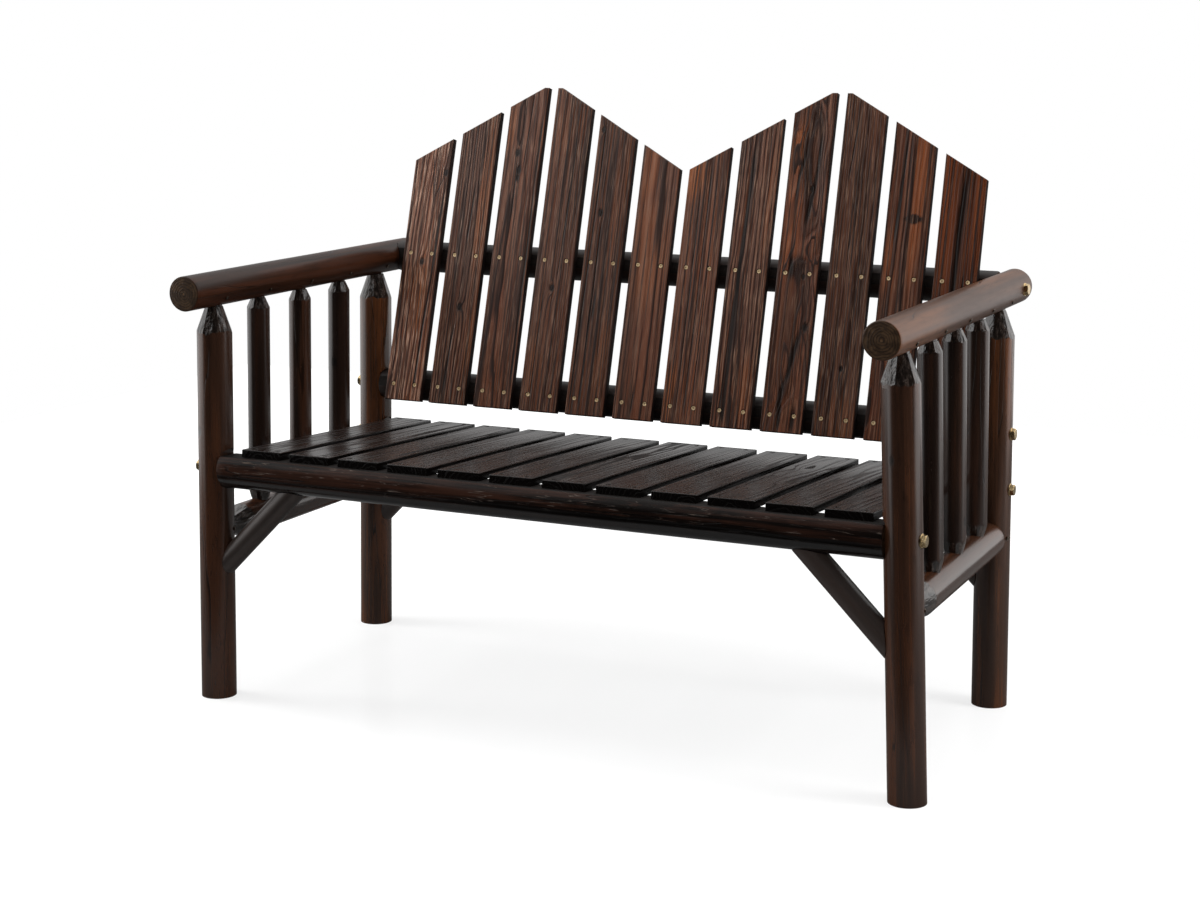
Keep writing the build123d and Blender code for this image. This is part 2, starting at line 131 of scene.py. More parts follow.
# %% Socket arithmetic
class Wire:
    def __init__(self, tree, socket=None):
        self.tree, self.socket = tree, socket

    def node(self, kind, inputs=None, out=0, **settings):
        made = self.tree.nodes.new(kind)
        for name, value in settings.items():
            setattr(made, name, value)
        for name, value in (inputs or {}).items():
            if isinstance(value, Wire):
                self.tree.links.new(value.socket, made.inputs[name])
            else:
                made.inputs[name].default_value = value
        return Wire(self.tree, made.outputs[out] if made.outputs else None)

    def sum(self, operation, *values):
        return self.node("ShaderNodeMath", dict(enumerate(values)), operation=operation)

    def __add__(self, other): return self.sum("ADD", self, other)
    def __radd__(self, other): return self.sum("ADD", other, self)
    def __sub__(self, other): return self.sum("SUBTRACT", self, other)
    def __rsub__(self, other): return self.sum("SUBTRACT", other, self)
    def __mul__(self, other): return self.sum("MULTIPLY", self, other)
    def __rmul__(self, other): return self.sum("MULTIPLY", other, self)
    def __truediv__(self, other): return self.sum("DIVIDE", self, other)
    def __rtruediv__(self, other): return self.sum("DIVIDE", other, self)
    def __pow__(self, other): return self.sum("POWER", self, other)

    def vector(self, operation, *others, out=0):
        inputs = dict(enumerate((self, *others)))
        return self.node("ShaderNodeVectorMath", inputs, out, operation=operation)

    def stretch(self, x, y, z):
        return self.vector("MULTIPLY", (x, y, z))

    def part(self, axis):
        return self.node("ShaderNodeSeparateXYZ", {0: self}, axis)

    def ray(self, kind):
        return self.node("ShaderNodeLightPath", out="Is %s Ray" % kind)

    def cloud(self, scale, detail, rough=0.55, warp=0.0):
        inputs = {"Vector": self, "Scale": scale, "Detail": detail, "Roughness": rough,
                  "Distortion": warp}
        return self.node("ShaderNodeTexNoise", inputs)

    def flecks(self, across, along, detail=2.0, rough=0.55, warp=0.0):
        return self.stretch(across, across, along).cloud(1.0, detail, rough, warp)

    def between(self, low, high):
        return self.node("ShaderNodeMapRange", {"Value": self, "From Min": low, "From Max": high},
                         interpolation_type="SMOOTHSTEP")

    def fract(self):
        return self.sum("FRACT", self)

    def hump(self, rise, top, fall, end):
        return self.between(rise, top) * (1.0 - self.between(fall, end))

    def near_zero(self, inner, outer):
        return 1.0 - self.sum("ABSOLUTE", self).between(inner, outer)

    def tint(self, first, second):
        inputs = {0: self, 6: colour(first), 7: colour(second)}
        return self.node("ShaderNodeMix", inputs, 2, data_type="RGBA")


def colour(value):
    return value if isinstance(value, Wire) else (*value, 1.0)


print("socket arithmetic ready")

# %% [markdown]
# Every finish ends the same way: a stained and lacquered surface. Its grain could be cut in
# the mesh, but it is far finer than the faces, so a Bump node raises it. The steady values are
# set on the shader's own sockets.


# %% Start and finish of a material
def open_material(name):
    material = bpy.data.materials.new(name)
    material.use_nodes = True
    tree = material.node_tree
    tree.nodes.clear()
    return material, Wire(tree)


def close_material(material, wire, shade, rough, height, relief, steady):
    raised = wire.node("ShaderNodeBump", {"Strength": 1.0, "Distance": relief, "Height": height})
    inputs = {"Base Color": shade, "Roughness": rough, "Normal": raised, **steady}
    surface = wire.node("ShaderNodeBsdfPrincipled", inputs)
    wire.node("ShaderNodeOutputMaterial", {"Surface": surface})
    return material


def give(piece, finish):
    piece.data.materials.clear()
    piece.data.materials.append(finish)


print("materials open and close")

# %% [markdown]
# ## Brushed boards
# Sawn fir shows its growth rings as lines, because the saw cuts the rings' cylinders
# lengthwise. A picture of wood could be laid on each board, but it would repeat, and its
# knots would sit anywhere. So the rings are drawn as distance from a wandering heart line,
# knots push them aside, and a steel brush has taken out the soft wood between the hard lines.


# %% Marks on a board: stain patches, cracks and knots
def board_place(wire, place):
    turned = place.inverted()
    here = wire.node("ShaderNodeTexCoord", out="Object")
    inputs = {"Vector": here, "Location": turned.translation, "Rotation": turned.to_euler()}
    return wire.node("ShaderNodeMapping", inputs, vector_type="POINT")


def oval(x, z, centre_x, centre_z, half_x, half_z):
    off_x, off_z = (x - centre_x) * (1 / half_x), (z - centre_z) * (1 / half_z)
    return (off_x * off_x + off_z * off_z) ** 0.5


def crack_mark(x, z, bend, low_x, high_x, low_z, high_z, half):
    line = (z - low_z) * ((high_x - low_x) / (high_z - low_z)) + low_x
    aside = x - line + bend * 0.012
    inside = z.hump(low_z - 0.01, low_z + 0.02, high_z - 0.03, high_z + 0.01)
    return aside.near_zero(half * 0.4, half * 1.5) * inside


def largest(marks):
    whole = marks[0]
    for mark in marks[1:]:
        whole = whole.sum("MAXIMUM", whole, mark)
    return whole


print("marks ready")


# %% Growth rings, pushed aside by the knots
KNOT_LENGTH = 1.5  # a knot is this much longer than it is wide


def growth_rings(local, apart, grain, cracks, knots):
    heart_x, heart_y, drift, spacing, swirl, _ = grain
    x, y, z = local.part(0), local.part(1), local.part(2)
    wander = apart.flecks(15, 2.0) - 0.5
    swirls = apart.flecks(20, 5.5, 1.0, warp=0.6) - 0.5
    sideways = x - heart_x + wander * 0.022 + swirls * (0.020 * swirl)
    depth = y + heart_y + z * drift + swirls * (0.050 * swirl)
    reach = (sideways * sideways + depth * depth) ** 0.5
    bend = wander + swirls * (swirl * 1.2)
    marks = [crack_mark(x, z, bend, *crack) for crack in cracks]
    for knot_x, knot_z, size in knots:
        away = oval(x, z, knot_x, knot_z, size, size * KNOT_LENGTH)
        reach = reach + (size * KNOT_LENGTH) / (away * away * 0.6 + 1.0)
        marks.append(1.0 - (away + wander * 1.2).between(0.55, 1.35))
    rings = reach / (spacing * 1.3) + apart.flecks(48, 1.5) * 2.4
    return rings, marks


print("rings ready")


# %% Board finish
# roughness, relief of the grain, specular level, extra roughness of the sides
BACK_GLOSS, SEAT_GLOSS = (0.22, 0.0008, 0.36, 0.7), (0.20, 0.00055, 0.35, 0.0)


def board_finish(name, place, seed, grain, tones, gloss, patches=(), cracks=(), knots=()):
    swirl, painted_sheen_amount = grain[4:]
    # the last tone is a pale colour painted in as sheen
    black, dark, brown, grey, orange, painted_sheen = tones
    polish, relief, shine, dull_sides = gloss
    material, wire = open_material(name)
    local = board_place(wire, place)
    apart = local.vector("ADD", (seed * 1.7, seed * 0.9, seed * 2.3))
    rings, marks = growth_rings(local, apart, grain, cracks, knots)

    phase = rings.fract()
    band = (rings * 0.30).fract().hump(0.25, 0.50, 0.78, 0.98)
    whole = rings.sum("FLOOR", rings)
    uneven = whole.node("ShaderNodeTexWhiteNoise", {"W": whole + seed}, noise_dimensions="1D")
    strong = uneven.between(0.15, 0.95)
    ridge = phase.hump(0.10, 0.70, 0.84, 0.98)
    groove = phase.hump(0.56, 0.80, 0.92, 1.0) * (strong * 0.7 + 0.35)
    # pale lines on the ring crests: painted sheen, highlights painted into the colour
    painted_crest_sheen = phase.hump(0.15, 0.40, 0.46, 0.62) * (1.2 - strong)

    streak = apart.flecks(48, 1.4, 4.0, rough=0.65)
    patch = apart.flecks(20, 4.5, 3.0)
    hair = apart.flecks(300, 3, 3.0, rough=0.6)
    brushed = apart.flecks(680, 20)

    shade = patch.between(0.38, 0.62).tint(brown, grey)
    glow = streak.between(0.54, 0.74) * 0.35
    gloom = (1.0 - streak).between(0.55, 0.70) * 0.45 + band * (0.12 + 0.26 * swirl)
    for *where, strength in patches:
        ragged = oval(local.part(0), local.part(2), *where) + (streak - 0.5) * 1.6
        spread = 1.0 - ragged.between(0.45, 1.15)
        if strength > 0:
            glow = glow + spread * strength
        else:
            gloom = gloom + spread * -strength
    shade = glow.tint(shade, orange)
    shade = (painted_crest_sheen * (0.10 + 0.26 * painted_sheen_amount)).tint(shade, painted_sheen)
    shade = groove.sum("MAXIMUM", groove * 0.96, gloom).tint(shade, dark)
    shade = (hair.between(0.47, 0.56) * 0.85).tint(shade, dark)
    # pale brushed flecks: painted sheen, glints painted into the colour
    painted_bristle_sheen = brushed.between(0.53, 0.66) * (painted_sheen_amount * 1.1 + 0.10)
    shade = (painted_bristle_sheen * (1.0 - groove)).tint(shade, painted_sheen)

    normal = wire.node("ShaderNodeNewGeometry", out="Normal")
    outward = place.to_3x3() @ Vector((0, -1, 0))
    facing = normal.vector("DOT_PRODUCT", outward, out=1)
    face = facing.sum("ABSOLUTE", facing).between(0.25, 0.8)
    height = (ridge * (strong * 0.3 + 0.25) + hair * -0.16 + brushed * 0.14) * face
    if marks:
        shade = (largest(marks) * 0.95).tint(shade, black)
        height = height - largest(marks) * 0.5
    # all but the outward face is darkened: painted shade on the sides between the boards, and the
    # end grain taking more stain
    shade = (1.0 - face).tint(shade, tuple(v * 0.6 for v in dark))
    rough = polish + hair * 0.1 + groove * 0.3 + (1.0 - face) * dull_sides
    return close_material(material, wire, shade, rough, height, relief,
                          {"Specular IOR Level": shine})


print("board finish ready")

# %% [markdown]
# The back's boards differ more than any others. Random seeds could vary them, but then none
# would look like its own board. So each row of the table is one board from left to right:
# how deep and how red its stain is, where the tree's heart lay, how wide its rings are, how far
# the figure swirls, how much painted sheen lightens its crests and flecks, then its patches
# (orange, or dark with a minus sign), cracks and knots, in metres. The depth is partly painted
# sheen too: the boards on the left are made lighter to stand in for the front-left lamp's sheen.

# %% Back boards
RECLINE = math.radians(15.9127)
BOARD_COUNT = 12
back_tilt = Matrix.Rotation(-RECLINE, 4, "X")
# black, dark, brown, grey, orange, and last a pale painted sheen colour
BACK_TONES = ((0.0030, 0.0016, 0.0012), (0.0090, 0.0035, 0.0022), (0.0640, 0.0205, 0.0098),
              (0.0600, 0.0235, 0.0135), (0.1350, 0.0410, 0.0125), (0.2200, 0.1350, 0.0950))
BACK_BOARDS = [
    # depth (partly painted sheen), redness, (heart x, heart depth, drift, ring spacing, swirl,
    # painted sheen),
    # patches, cracks, knots
    (1.95, 1.02, (-0.05, 0.03, 0.0, 0.0056, 0.25, 0.55),
     [(0.008, 0.2, 0.02, 0.1, 0.4)],
     [(0.012, 0.0, 0.375, 0.47, 0.0012), (0.013, 0.03, 0.38, 0.432, 0.0012),
      (0.02, 0.031, 0.02, 0.4, 0.0022)],
     [(0.03, 0.43, 0.0048), (0.004, 0.262, 0.006)]),
    (1.02, 1.0, (-0.065, 0.02, 0.0, 0.004, 0.15, 0.45),
     [(0.026, 0.38, 0.014, 0.2, 0.9), (0.03, 0.12, 0.01, 0.1, 0.6)],
     [(-0.001, 0.004, 0.3, 0.42, 0.0016), (-0.01, -0.004, 0.02, 0.16, 0.0014)],
     [(0.002, 0.182, 0.0048)]),
    (1.55, 1.0, (-0.012, 0.022, 0.02, 0.008, 0.3, 0.18),
     [(-0.03, 0.52, 0.008, 0.06, 0.7), (0.034, 0.4, 0.006, 0.2, 0.5)],
     [(-0.007, -0.011, 0.35, 0.47, 0.0013), (0.004, 0.012, 0.44, 0.6, 0.0012),
      (0.031, 0.033, 0.05, 0.55, 0.002)],
     [(-0.0104, 0.4719, 0.0048), (-0.004, 0.44, 0.0052), (-0.0055, 0.4255, 0.004)]),
    (1.2, 1.0, (0.07, 0.03, 0.0, 0.0048, 0.12, 0.32),
     [(0.0, 0.52, 0.03, 0.05, 0.35), (-0.02, 0.08, 0.02, 0.06, 0.4)],
     [(0.008, 0.014, 0.24, 0.52, 0.001), (-0.016, -0.013, 0.02, 0.22, 0.0011)],
     [(0.0, 0.227, 0.0056)]),
    (1.04, 0.98, (0.06, 0.022, 0.0, 0.0062, 0.18, 0.25),
     [(0.022, 0.4, 0.014, 0.16, 0.55), (0.02, 0.1, 0.014, 0.1, 0.4)],
     [(-0.03, -0.024, 0.02, 0.53, 0.0016), (-0.014, -0.01, 0.02, 0.36, 0.0014),
      (-0.008, -0.006, 0.17, 0.24, 0.0022)],
     [(-0.0276, 0.519, 0.0036), (-0.0136, 0.3674, 0.005)]),
    (1.34, 0.97, (-0.05, 0.045, 0.0, 0.009, 0.15, 0.12),
     [(0.0, 0.3, 0.05, 0.12, 0.5), (-0.02, 0.45, 0.02, 0.06, 0.6)],
     [(-0.004, -0.002, 0.005, 0.07, 0.0018)],
     []),
    (1.6, 0.98, (0.058, 0.02, 0.01, 0.0066, 0.1, 0.15),
     [(-0.02, 0.44, 0.018, 0.05, 0.9), (-0.022, 0.05, 0.016, 0.06, 0.7)],
     [(-0.012, -0.01, 0.02, 0.42, 0.001), (0.004, 0.006, 0.02, 0.46, 0.0012),
      (0.018, 0.019, 0.05, 0.44, 0.001)],
     []),
    (1.16, 0.92, (-0.04, 0.03, 0.0, 0.0052, 0.2, 0.5),
     [(0.02, 0.07, 0.018, 0.08, 0.6), (0.026, 0.4, 0.012, 0.14, 0.4)],
     [(-0.016, -0.008, 0.005, 0.5, 0.004), (-0.023, -0.014, 0.02, 0.25, 0.0018)],
     []),
    (1.5, 0.9, (0.01, 0.016, 0.05, 0.0062, 1.6, 0.1),
     [(-0.02, 0.5, 0.014, 0.06, 0.9), (-0.026, 0.36, 0.01, 0.08, 0.5),
      (-0.004, 0.285, 0.02, 0.03, -0.5), (0.006, 0.09, 0.01, 0.09, -0.4),
      (0.0, 0.48, 0.03, 0.09, -0.5)],
     [(-0.012, -0.01, 0.265, 0.325, 0.0042), (0.0, 0.018, 0.08, 0.19, 0.0044),
      (-0.006, -0.001, 0.0, 0.11, 0.0036), (0.018, 0.02, 0.0, 0.06, 0.004),
      (0.006, 0.018, 0.36, 0.52, 0.0034), (-0.014, -0.008, 0.4, 0.5, 0.0026)],
     [(0.024, 0.185, 0.0065), (0.01, 0.425, 0.004), (0.012, 0.272, 0.004)]),
    (0.82, 0.94, (0.075, 0.03, 0.0, 0.004, 0.12, 0.5),
     [(0.01, 0.03, 0.03, 0.05, 0.45)],
     [(-0.018, -0.01, 0.44, 0.56, 0.0014), (-0.004, -0.003, 0.385, 0.415, 0.0014),
      (-0.006, -0.004, 0.32, 0.35, 0.0014), (-0.001, 0.002, 0.08, 0.125, 0.001)],
     [(0.004, 0.119, 0.0034)]),
    (1.05, 0.86, (-0.045, 0.026, 0.0, 0.0056, 0.18, 0.15),
     [(0.016, 0.42, 0.02, 0.16, 0.95), (-0.024, 0.3, 0.012, 0.08, 0.9),
      (0.01, 0.12, 0.02, 0.12, 0.5), (0.01, 0.38, 0.02, 0.009, -1.4)],
     [(-0.018, -0.01, 0.34, 0.52, 0.0022)],
     []),
    (0.86, 0.74, (0.05, 0.024, 0.0, 0.005, 0.1, 0.1),
     [(-0.022, 0.42, 0.016, 0.2, 0.7), (0.026, 0.42, 0.015, 0.2, 0.7)],
     [(-0.004, 0.002, 0.16, 0.46, 0.005), (0.012, 0.014, 0.05, 0.3, 0.0016)],
     []),
]

for number, (depth, red, grain, patches, cracks, knots) in enumerate(BACK_BOARDS, start=1):
    node = "back_slat_%02d" % number
    low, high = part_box(node)
    foot = Vector(((low.x + high.x) / 2, low.y, low.z))
    place = Matrix.Translation(foot) @ back_tilt
    # depth lightens the tones, on the left boards partly as painted sheen for the front-left lamp
    tones = [(tone[0] * depth, tone[1] * depth * red, tone[2] * depth * red * red)
             for tone in BACK_TONES]
    give(nodes[node], board_finish("back_board_%02d" % number, place, number, grain, tones,
                                   BACK_GLOSS, patches, cracks, knots))
print("back boards finished:", len(BACK_BOARDS))

# %% [markdown]
# The seat has the same boards with more stain and more lacquer, so they are nearly black and
# mirror the white room at a low angle. They could have a table too, but so little figure
# shows that chance does as well, apart from one board near the right end with a lively swirl.

# %% Seat boards
SEAT_TILT = math.radians(3.5958)
SWIRLING_BOARD, SEAT_SEED = 10, 30
# the same six tones; the last is a pale painted sheen colour
SEAT_TONES = ((0.002, 0.0014, 0.0012), (0.0030, 0.0019, 0.0016), (0.0110, 0.0062, 0.0050),
              (0.0150, 0.0085, 0.0068), (0.0300, 0.0125, 0.0085), (0.0500, 0.0300, 0.0230))
seat_lie = Matrix.Rotation(math.pi / 2 - SEAT_TILT, 4, "X") @ Matrix.Rotation(math.pi, 4, "Y")
seat_nodes = ["seat_slat_%02d" % number for number in range(1, BOARD_COUNT + 1)]
dice = random.Random(11)

for number, node in enumerate(seat_nodes, start=1):
    low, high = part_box(node)
    front = Vector(((low.x + high.x) / 2, low.y, high.z))
    place = Matrix.Translation(front) @ seat_lie
    grain = (dice.uniform(-0.05, 0.05), dice.uniform(0.02, 0.04), 0.0,
             dice.uniform(0.0042, 0.0070), 0.9 if number == SWIRLING_BOARD else 0.2, 0.2)
    give(nodes[node], board_finish("seat_board_%02d" % number, place, SEAT_SEED + number,
                                   grain, SEAT_TONES, SEAT_GLOSS))
print("seat boards finished:", BOARD_COUNT)

# %% [markdown]
# Nobody likes a sharp edge under the knees, so the seat boards' edges are eased by two
# millimetres. They could be remade as rounded blocks, but the solids have the right shape
# already, so a Weld joins their loose triangles and a Bevel rounds the corners. The back
# boards keep their crisp sawn edges.

# %% Eased edges
WELD_DISTANCE, SEAT_EASE, CORNER = 0.00001, 0.0020, math.radians(50)
for node in seat_nodes:
    weld = nodes[node].modifiers.new("weld", "WELD")
    weld.merge_threshold = WELD_DISTANCE
    ease = nodes[node].modifiers.new("eased_edges", "BEVEL")
    ease.width, ease.segments = SEAT_EASE, 2
    ease.limit_method, ease.angle_limit = "ANGLE", CORNER
print("edges eased:", len(seat_nodes))

# %% [markdown]
# ## Logs
# The logs were peeled by hand, stained and lacquered. A finish in Object coordinates would
# only suit logs that stand upright, so each log piece carries its own place in the wood as an
# attribute: two numbers across the log and one along it, shifted so that no two logs are
# alike, and one number for how warm its stain came out, raised on the rear posts partly as
# painted light.


# %% Peeled logs
SCRATCH = (0.115, 0.088, 0.072)


def wood_spot(wire):
    return wire.node("ShaderNodeAttribute", out="Vector", attribute_name="wood")


def stain_warmth(wire):
    return wire.node("ShaderNodeAttribute", out="Fac", attribute_name="warmth")


def wear_and_painted_seam(spot, clouds, tones, shade, height, wear):
    streak, slow, mottle = clouds
    black, dark, orange = tones
    worn = (streak * 0.6 + mottle * 0.5).between(0.54, 0.66) * 0.7
    shade = (worn * wear).tint(shade, orange)
    thread = spot.flecks(95, 5, 3.0, warp=0.3) - 0.5
    scratch = thread.near_zero(0.002, 0.008) * mottle.between(0.46, 0.58)
    shade = (scratch * wear).tint(shade, SCRATCH)
    # a wavy black line painted where the floor's reflection begins; below it the rail is darker and
    # coated glossier
    level = spot.part(1) + (slow - 0.5) * 0.010
    painted_reflection_seam = level.hump(-0.0130, -0.0085, -0.0075, -0.0025)
    smooth = 1.0 - level.between(-0.0140, -0.0095)
    shade = (smooth * 0.8).tint((painted_reflection_seam * 0.85).tint(shade, black), dark)
    height = height + (scratch * 0.3 + mottle * 0.22) * (1.0 - smooth) - painted_reflection_seam * 0.5
    return shade, height, smooth


def peeled_finish(name, tones, polish, relief, shine=0.7, wear=0.0):
    black, dark, brown, orange = tones
    material, wire = open_material(name)
    spot, warmth = wood_spot(wire), stain_warmth(wire)
    streak = spot.flecks(62, 1.4, 4.0, rough=0.62)
    slow = spot.flecks(17, 2.6)
    mottle = spot.flecks(140, 30, 3.0)
    fibre = spot.flecks(750, 10)
    dents = spot.flecks(26, 5)
    cell = spot.node("ShaderNodeTexVoronoi", {"Vector": spot.stretch(12, 12, 8), "Scale": 1.0})
    knot = 1.0 - (cell + mottle * 0.06).between(0.07, 0.12)
    vein = spot.flecks(30, 1.3) - 0.5
    crack = vein.near_zero(0.0015, 0.006) * slow.between(0.47, 0.53)

    glow = (streak * 0.65 + slow * 0.6).between(0.60, 0.76) * warmth
    gloom = (1.0 - (streak * 0.6 + slow * 0.4)).between(0.47, 0.60)
    speck = mottle.between(0.52, 0.72) * 0.35 + fibre.between(0.52, 0.75) * 0.25
    shade = (gloom * 0.55).tint(glow.tint(brown, orange), dark)
    shade = (knot * 0.9).tint(speck.tint(shade, dark), black)
    shade = (crack * 0.75).tint(shade, black)
    height = dents * 0.9 + slow * 0.6 + fibre * 0.05 - knot * 0.35 - crack * 0.3
    steady = {"Specular IOR Level": shine}
    # wear adds worn patches and scratches, and also the painted reflection seam
    if wear:
        shade, height, smooth = wear_and_painted_seam(spot, (streak, slow, mottle), (black, dark, orange),
                                          shade, height, wear)
        steady.update({"Coat Weight": smooth, "Coat Roughness": 0.12})
    rough = polish + fibre * 0.05 + mottle * 0.06
    return close_material(material, wire, shade, rough, height, relief, steady)


print("peeled finish ready")


# %% [markdown]
# Where a draw-knife or a saw cut the log, other wood shows. The carved faces are dark and
# glossy, with the chatter of the blade. The sawn ends show the growth rings as circles round
# the log's own heart, which come straight from the distance across the wood.


# %% Carved and sawn faces
def carved_finish(name, tones, polish, relief):
    dark, brown, pale = tones
    material, wire = open_material(name)
    spot = wood_spot(wire)
    chatter = spot.flecks(230, 90, rough=0.6)
    scoop = spot.flecks(85, 24)
    streak = spot.flecks(200, 14)
    # pale flecks painted into the colour: painted glints standing in for the lacquer's sparkle
    glint = spot.flecks(950, 330, rough=0.6).between(0.46, 0.72)
    shade = streak.between(0.40, 0.70).tint(dark, brown)
    shade = (glint * streak.between(0.42, 0.62) * 0.30).tint(shade, pale)
    return close_material(material, wire, shade, polish + chatter * 0.1, scoop + chatter * 0.5,
                          relief, {"Specular IOR Level": 1.0})


def sawn_finish(name, tones, polish, ring=0.0044, relief=0.0005):
    dark, brown, pale = tones
    material, wire = open_material(name)
    spot, warmth = wood_spot(wire), stain_warmth(wire)
    wobble = spot.flecks(42, 1, 3.0) - 0.5
    away = spot.stretch(1, 1, 0).vector("LENGTH", out=1)
    rings = (away + wobble * 0.014) / ring
    line = rings.fract().hump(0.3, 0.8, 0.88, 1.0)
    stain = spot.flecks(95, 1, 3.0)
    heart = (1.0 - away.between(0.0010, 0.0026)) * 0.7 * warmth
    shade = (stain.between(0.42, 0.62) * (warmth * 0.8 + 0.2)).tint(brown, pale)
    shade = (line * (warmth * 0.7 + 0.1)).tint(shade, dark)
    shade = heart.tint(shade, tuple(v * 2 for v in pale))
    shade = (away.between(0.0262, 0.0282) * 0.6).tint(shade, dark)
    height = line * 0.4 + spot.flecks(500, 1) * 0.5
    return close_material(material, wire, shade, polish + stain * 0.1, height, relief,
                          {"Specular IOR Level": 0.25})


print("carved and sawn finishes ready")

# %% [markdown]
# The logs took the stain differently: the posts glow red, the rails behind the boards stayed
# nearly black, and the front rail is worn by legs and shoes, with a wavy black line painted
# where the floor's reflection begins. The rear posts' lighter, warmer tones are partly painted
# light, and the left armrest's darker ones partly painted shade. One material with a random tone
# would be shorter, but a table lets each kind of log match its place on the bench.

# %% The stain on each kind of log
LOG_STAINS_AND_PAINTED_LIGHT = {
    # material, (black, dark, brown, orange), polish, relief, shine and wear where not usual
    "post": ("peeled_log", ((0.003, 0.0018, 0.0015), (0.0080, 0.0038, 0.0026),
                            (0.0290, 0.0125, 0.0070), (0.075, 0.0250, 0.0095)), 0.17, 0.0007),
    # rear posts: lighter and warmer, partly painted light standing in for the light under the seat
    "rear": ("rear_log", ((0.003, 0.0018, 0.0015), (0.0090, 0.0037, 0.0020),
                          (0.0370, 0.0148, 0.0068), (0.080, 0.0260, 0.0085)), 0.19, 0.0007),
    "pole": ("dark_pole", ((0.002, 0.0014, 0.0012), (0.0050, 0.0026, 0.0020),
                           (0.0130, 0.0064, 0.0042), (0.045, 0.0160, 0.0070)), 0.20, 0.0005),
    "right_arm": ("bright_arm", ((0.005, 0.003, 0.002), (0.0190, 0.0084, 0.0046),
                                 (0.0480, 0.0215, 0.0112), (0.090, 0.0350, 0.0140)),
                  0.30, 0.0006, 0.28),
    # left armrest: darker, partly painted shade
    "left_arm": ("dark_arm", ((0.002, 0.0012, 0.0010), (0.0040, 0.0016, 0.0010),
                              (0.0150, 0.0052, 0.0021), (0.040, 0.0130, 0.0062)),
                 0.26, 0.0006, 0.18),
    "brace": ("brace_pole", ((0.003, 0.002, 0.0016), (0.0160, 0.0110, 0.0090),
                             (0.0350, 0.0240, 0.0200), (0.040, 0.0220, 0.0160)), 0.34, 0.0005),
    "rail": ("back_rail", ((0.002, 0.0015, 0.0013), (0.0030, 0.0020, 0.0017),
                           (0.0080, 0.0044, 0.0034), (0.014, 0.0070, 0.0045)),
             0.42, 0.0007, 0.3),
    # the wear here also turns on the painted reflection seam
    "front_rail": ("worn_rail", ((0.002, 0.0015, 0.0013), (0.0028, 0.0021, 0.0019),
                                 (0.0042, 0.0028, 0.0023), (0.030, 0.0125, 0.0080)),
                   0.20, 0.0014, 0.14, 0.8),
}
# the third carved tone is the colour of the painted glints
carved = carved_finish("carved_cuts", ((0.0070, 0.0046, 0.0036), (0.026, 0.0175, 0.0140),
                                       (0.150, 0.125, 0.108)), 0.13, 0.0019)
sawn = sawn_finish("sawn_end", ((0.009, 0.0045, 0.0026), (0.030, 0.0160, 0.0078),
                                (0.066, 0.037, 0.018)), 0.45)
planed = sawn_finish("planed_flat", ((0.002, 0.0015, 0.0012), (0.004, 0.0025, 0.002),
                                     (0.006, 0.004, 0.003)), 0.7)
LOG_FINISHES = {kind: [peeled_finish(*stain), carved, sawn]
                for kind, stain in LOG_STAINS_AND_PAINTED_LIGHT.items()}
for kind in ("front_rail", "rail"):
    LOG_FINISHES[kind].append(planed)
print("log finishes:", {kind: len(finishes) for kind, finishes in LOG_FINISHES.items()})

# %% [markdown]
# A peeled log is round but not quite round. It could be sculpted or displaced by a modifier;
# here the blank is a cone operator with equal radii, cut into short rings, and a slow noise
# pares it down by a fraction of a millimetre, so it never outgrows its solid.


# %% Log blank
SHAFT, CUT, SAWN, PLANED = 0, 1, 2, 3
LOG_SIDES, POLE_SIDES, BORE_SIDES = 72, 56, 64
MERGE = 1e-6


def log_blank(radius, start, end, seed, sides=LOG_SIDES, pitch=0.010, pare=0.022):
    log = bmesh.new()
    length = end - start
    bmesh.ops.create_cone(log, cap_ends=True, segments=sides, radius1=radius, radius2=radius,
                          depth=length)
    bmesh.ops.translate(log, verts=log.verts, vec=(0, 0, start + length / 2))
    for face in log.faces:
        face.material_index = SAWN if abs(face.normal.z) > 0.9 else SHAFT
    uprights = [e for e in log.edges if abs(e.verts[0].co.z - e.verts[1].co.z) > length / 2]
    bmesh.ops.subdivide_edges(log, edges=uprights, cuts=max(1, round(length / pitch)),
                              use_grid_fill=True)
    shift = Vector((seed * 3.1, seed * 1.3, seed * 0.7))
    for vert in log.verts:
        across_log = Vector((vert.co.x, vert.co.y, 0)).normalized()
        slow = noise.noise(across_log * 1.1 + Vector((0, 0, vert.co.z * 3.0)) + shift)
        quick = noise.noise(across_log * 2.6 + Vector((0, 0, vert.co.z * 9.0)) + shift * 2)
        share = 1 - pare * (0.5 + 0.5 * slow) - pare * 0.3 * (0.5 + 0.5 * quick)
        vert.co.x, vert.co.y = vert.co.x * share, vert.co.y * share
    return log


def slice_off(log, point, normal, slot):
    geometry = log.verts[:] + log.edges[:] + log.faces[:]
    cut = bmesh.ops.bisect_plane(log, geom=geometry, dist=MERGE, plane_co=point,
                                 plane_no=normal, clear_outer=True)
    rim = [e for e in cut["geom_cut"] if isinstance(e, bmesh.types.BMEdge)]
    if rim:
        for face in bmesh.ops.holes_fill(log, edges=rim, sides=0)["faces"]:
            face.material_index = slot


print("log blank ready")

# %% [markdown]
# The ends are carved with a draw-knife. A smooth cone would be one operator, but it would look
# turned on a lathe. Every stroke of the knife leaves one flat face, and where it runs out on
# the round log it leaves a scalloped edge. A plane cut does exactly the same.


# %% Carved ends and tenons
BITE, TENON_STEP = 0.0006, 0.0012
POST_STROKES, TIP_STROKES, TOP_STROKES, FOOT_STROKES = 13, 12, 11, 10
POST_SEED, ARM_SEED, STRETCHER_SEED, SPINDLE_SEED, RAIL_SEED, BRACE_SEED = 10, 20, 30, 40, 60, 70
POST_DICE, SIDE_DICE = 100, 200


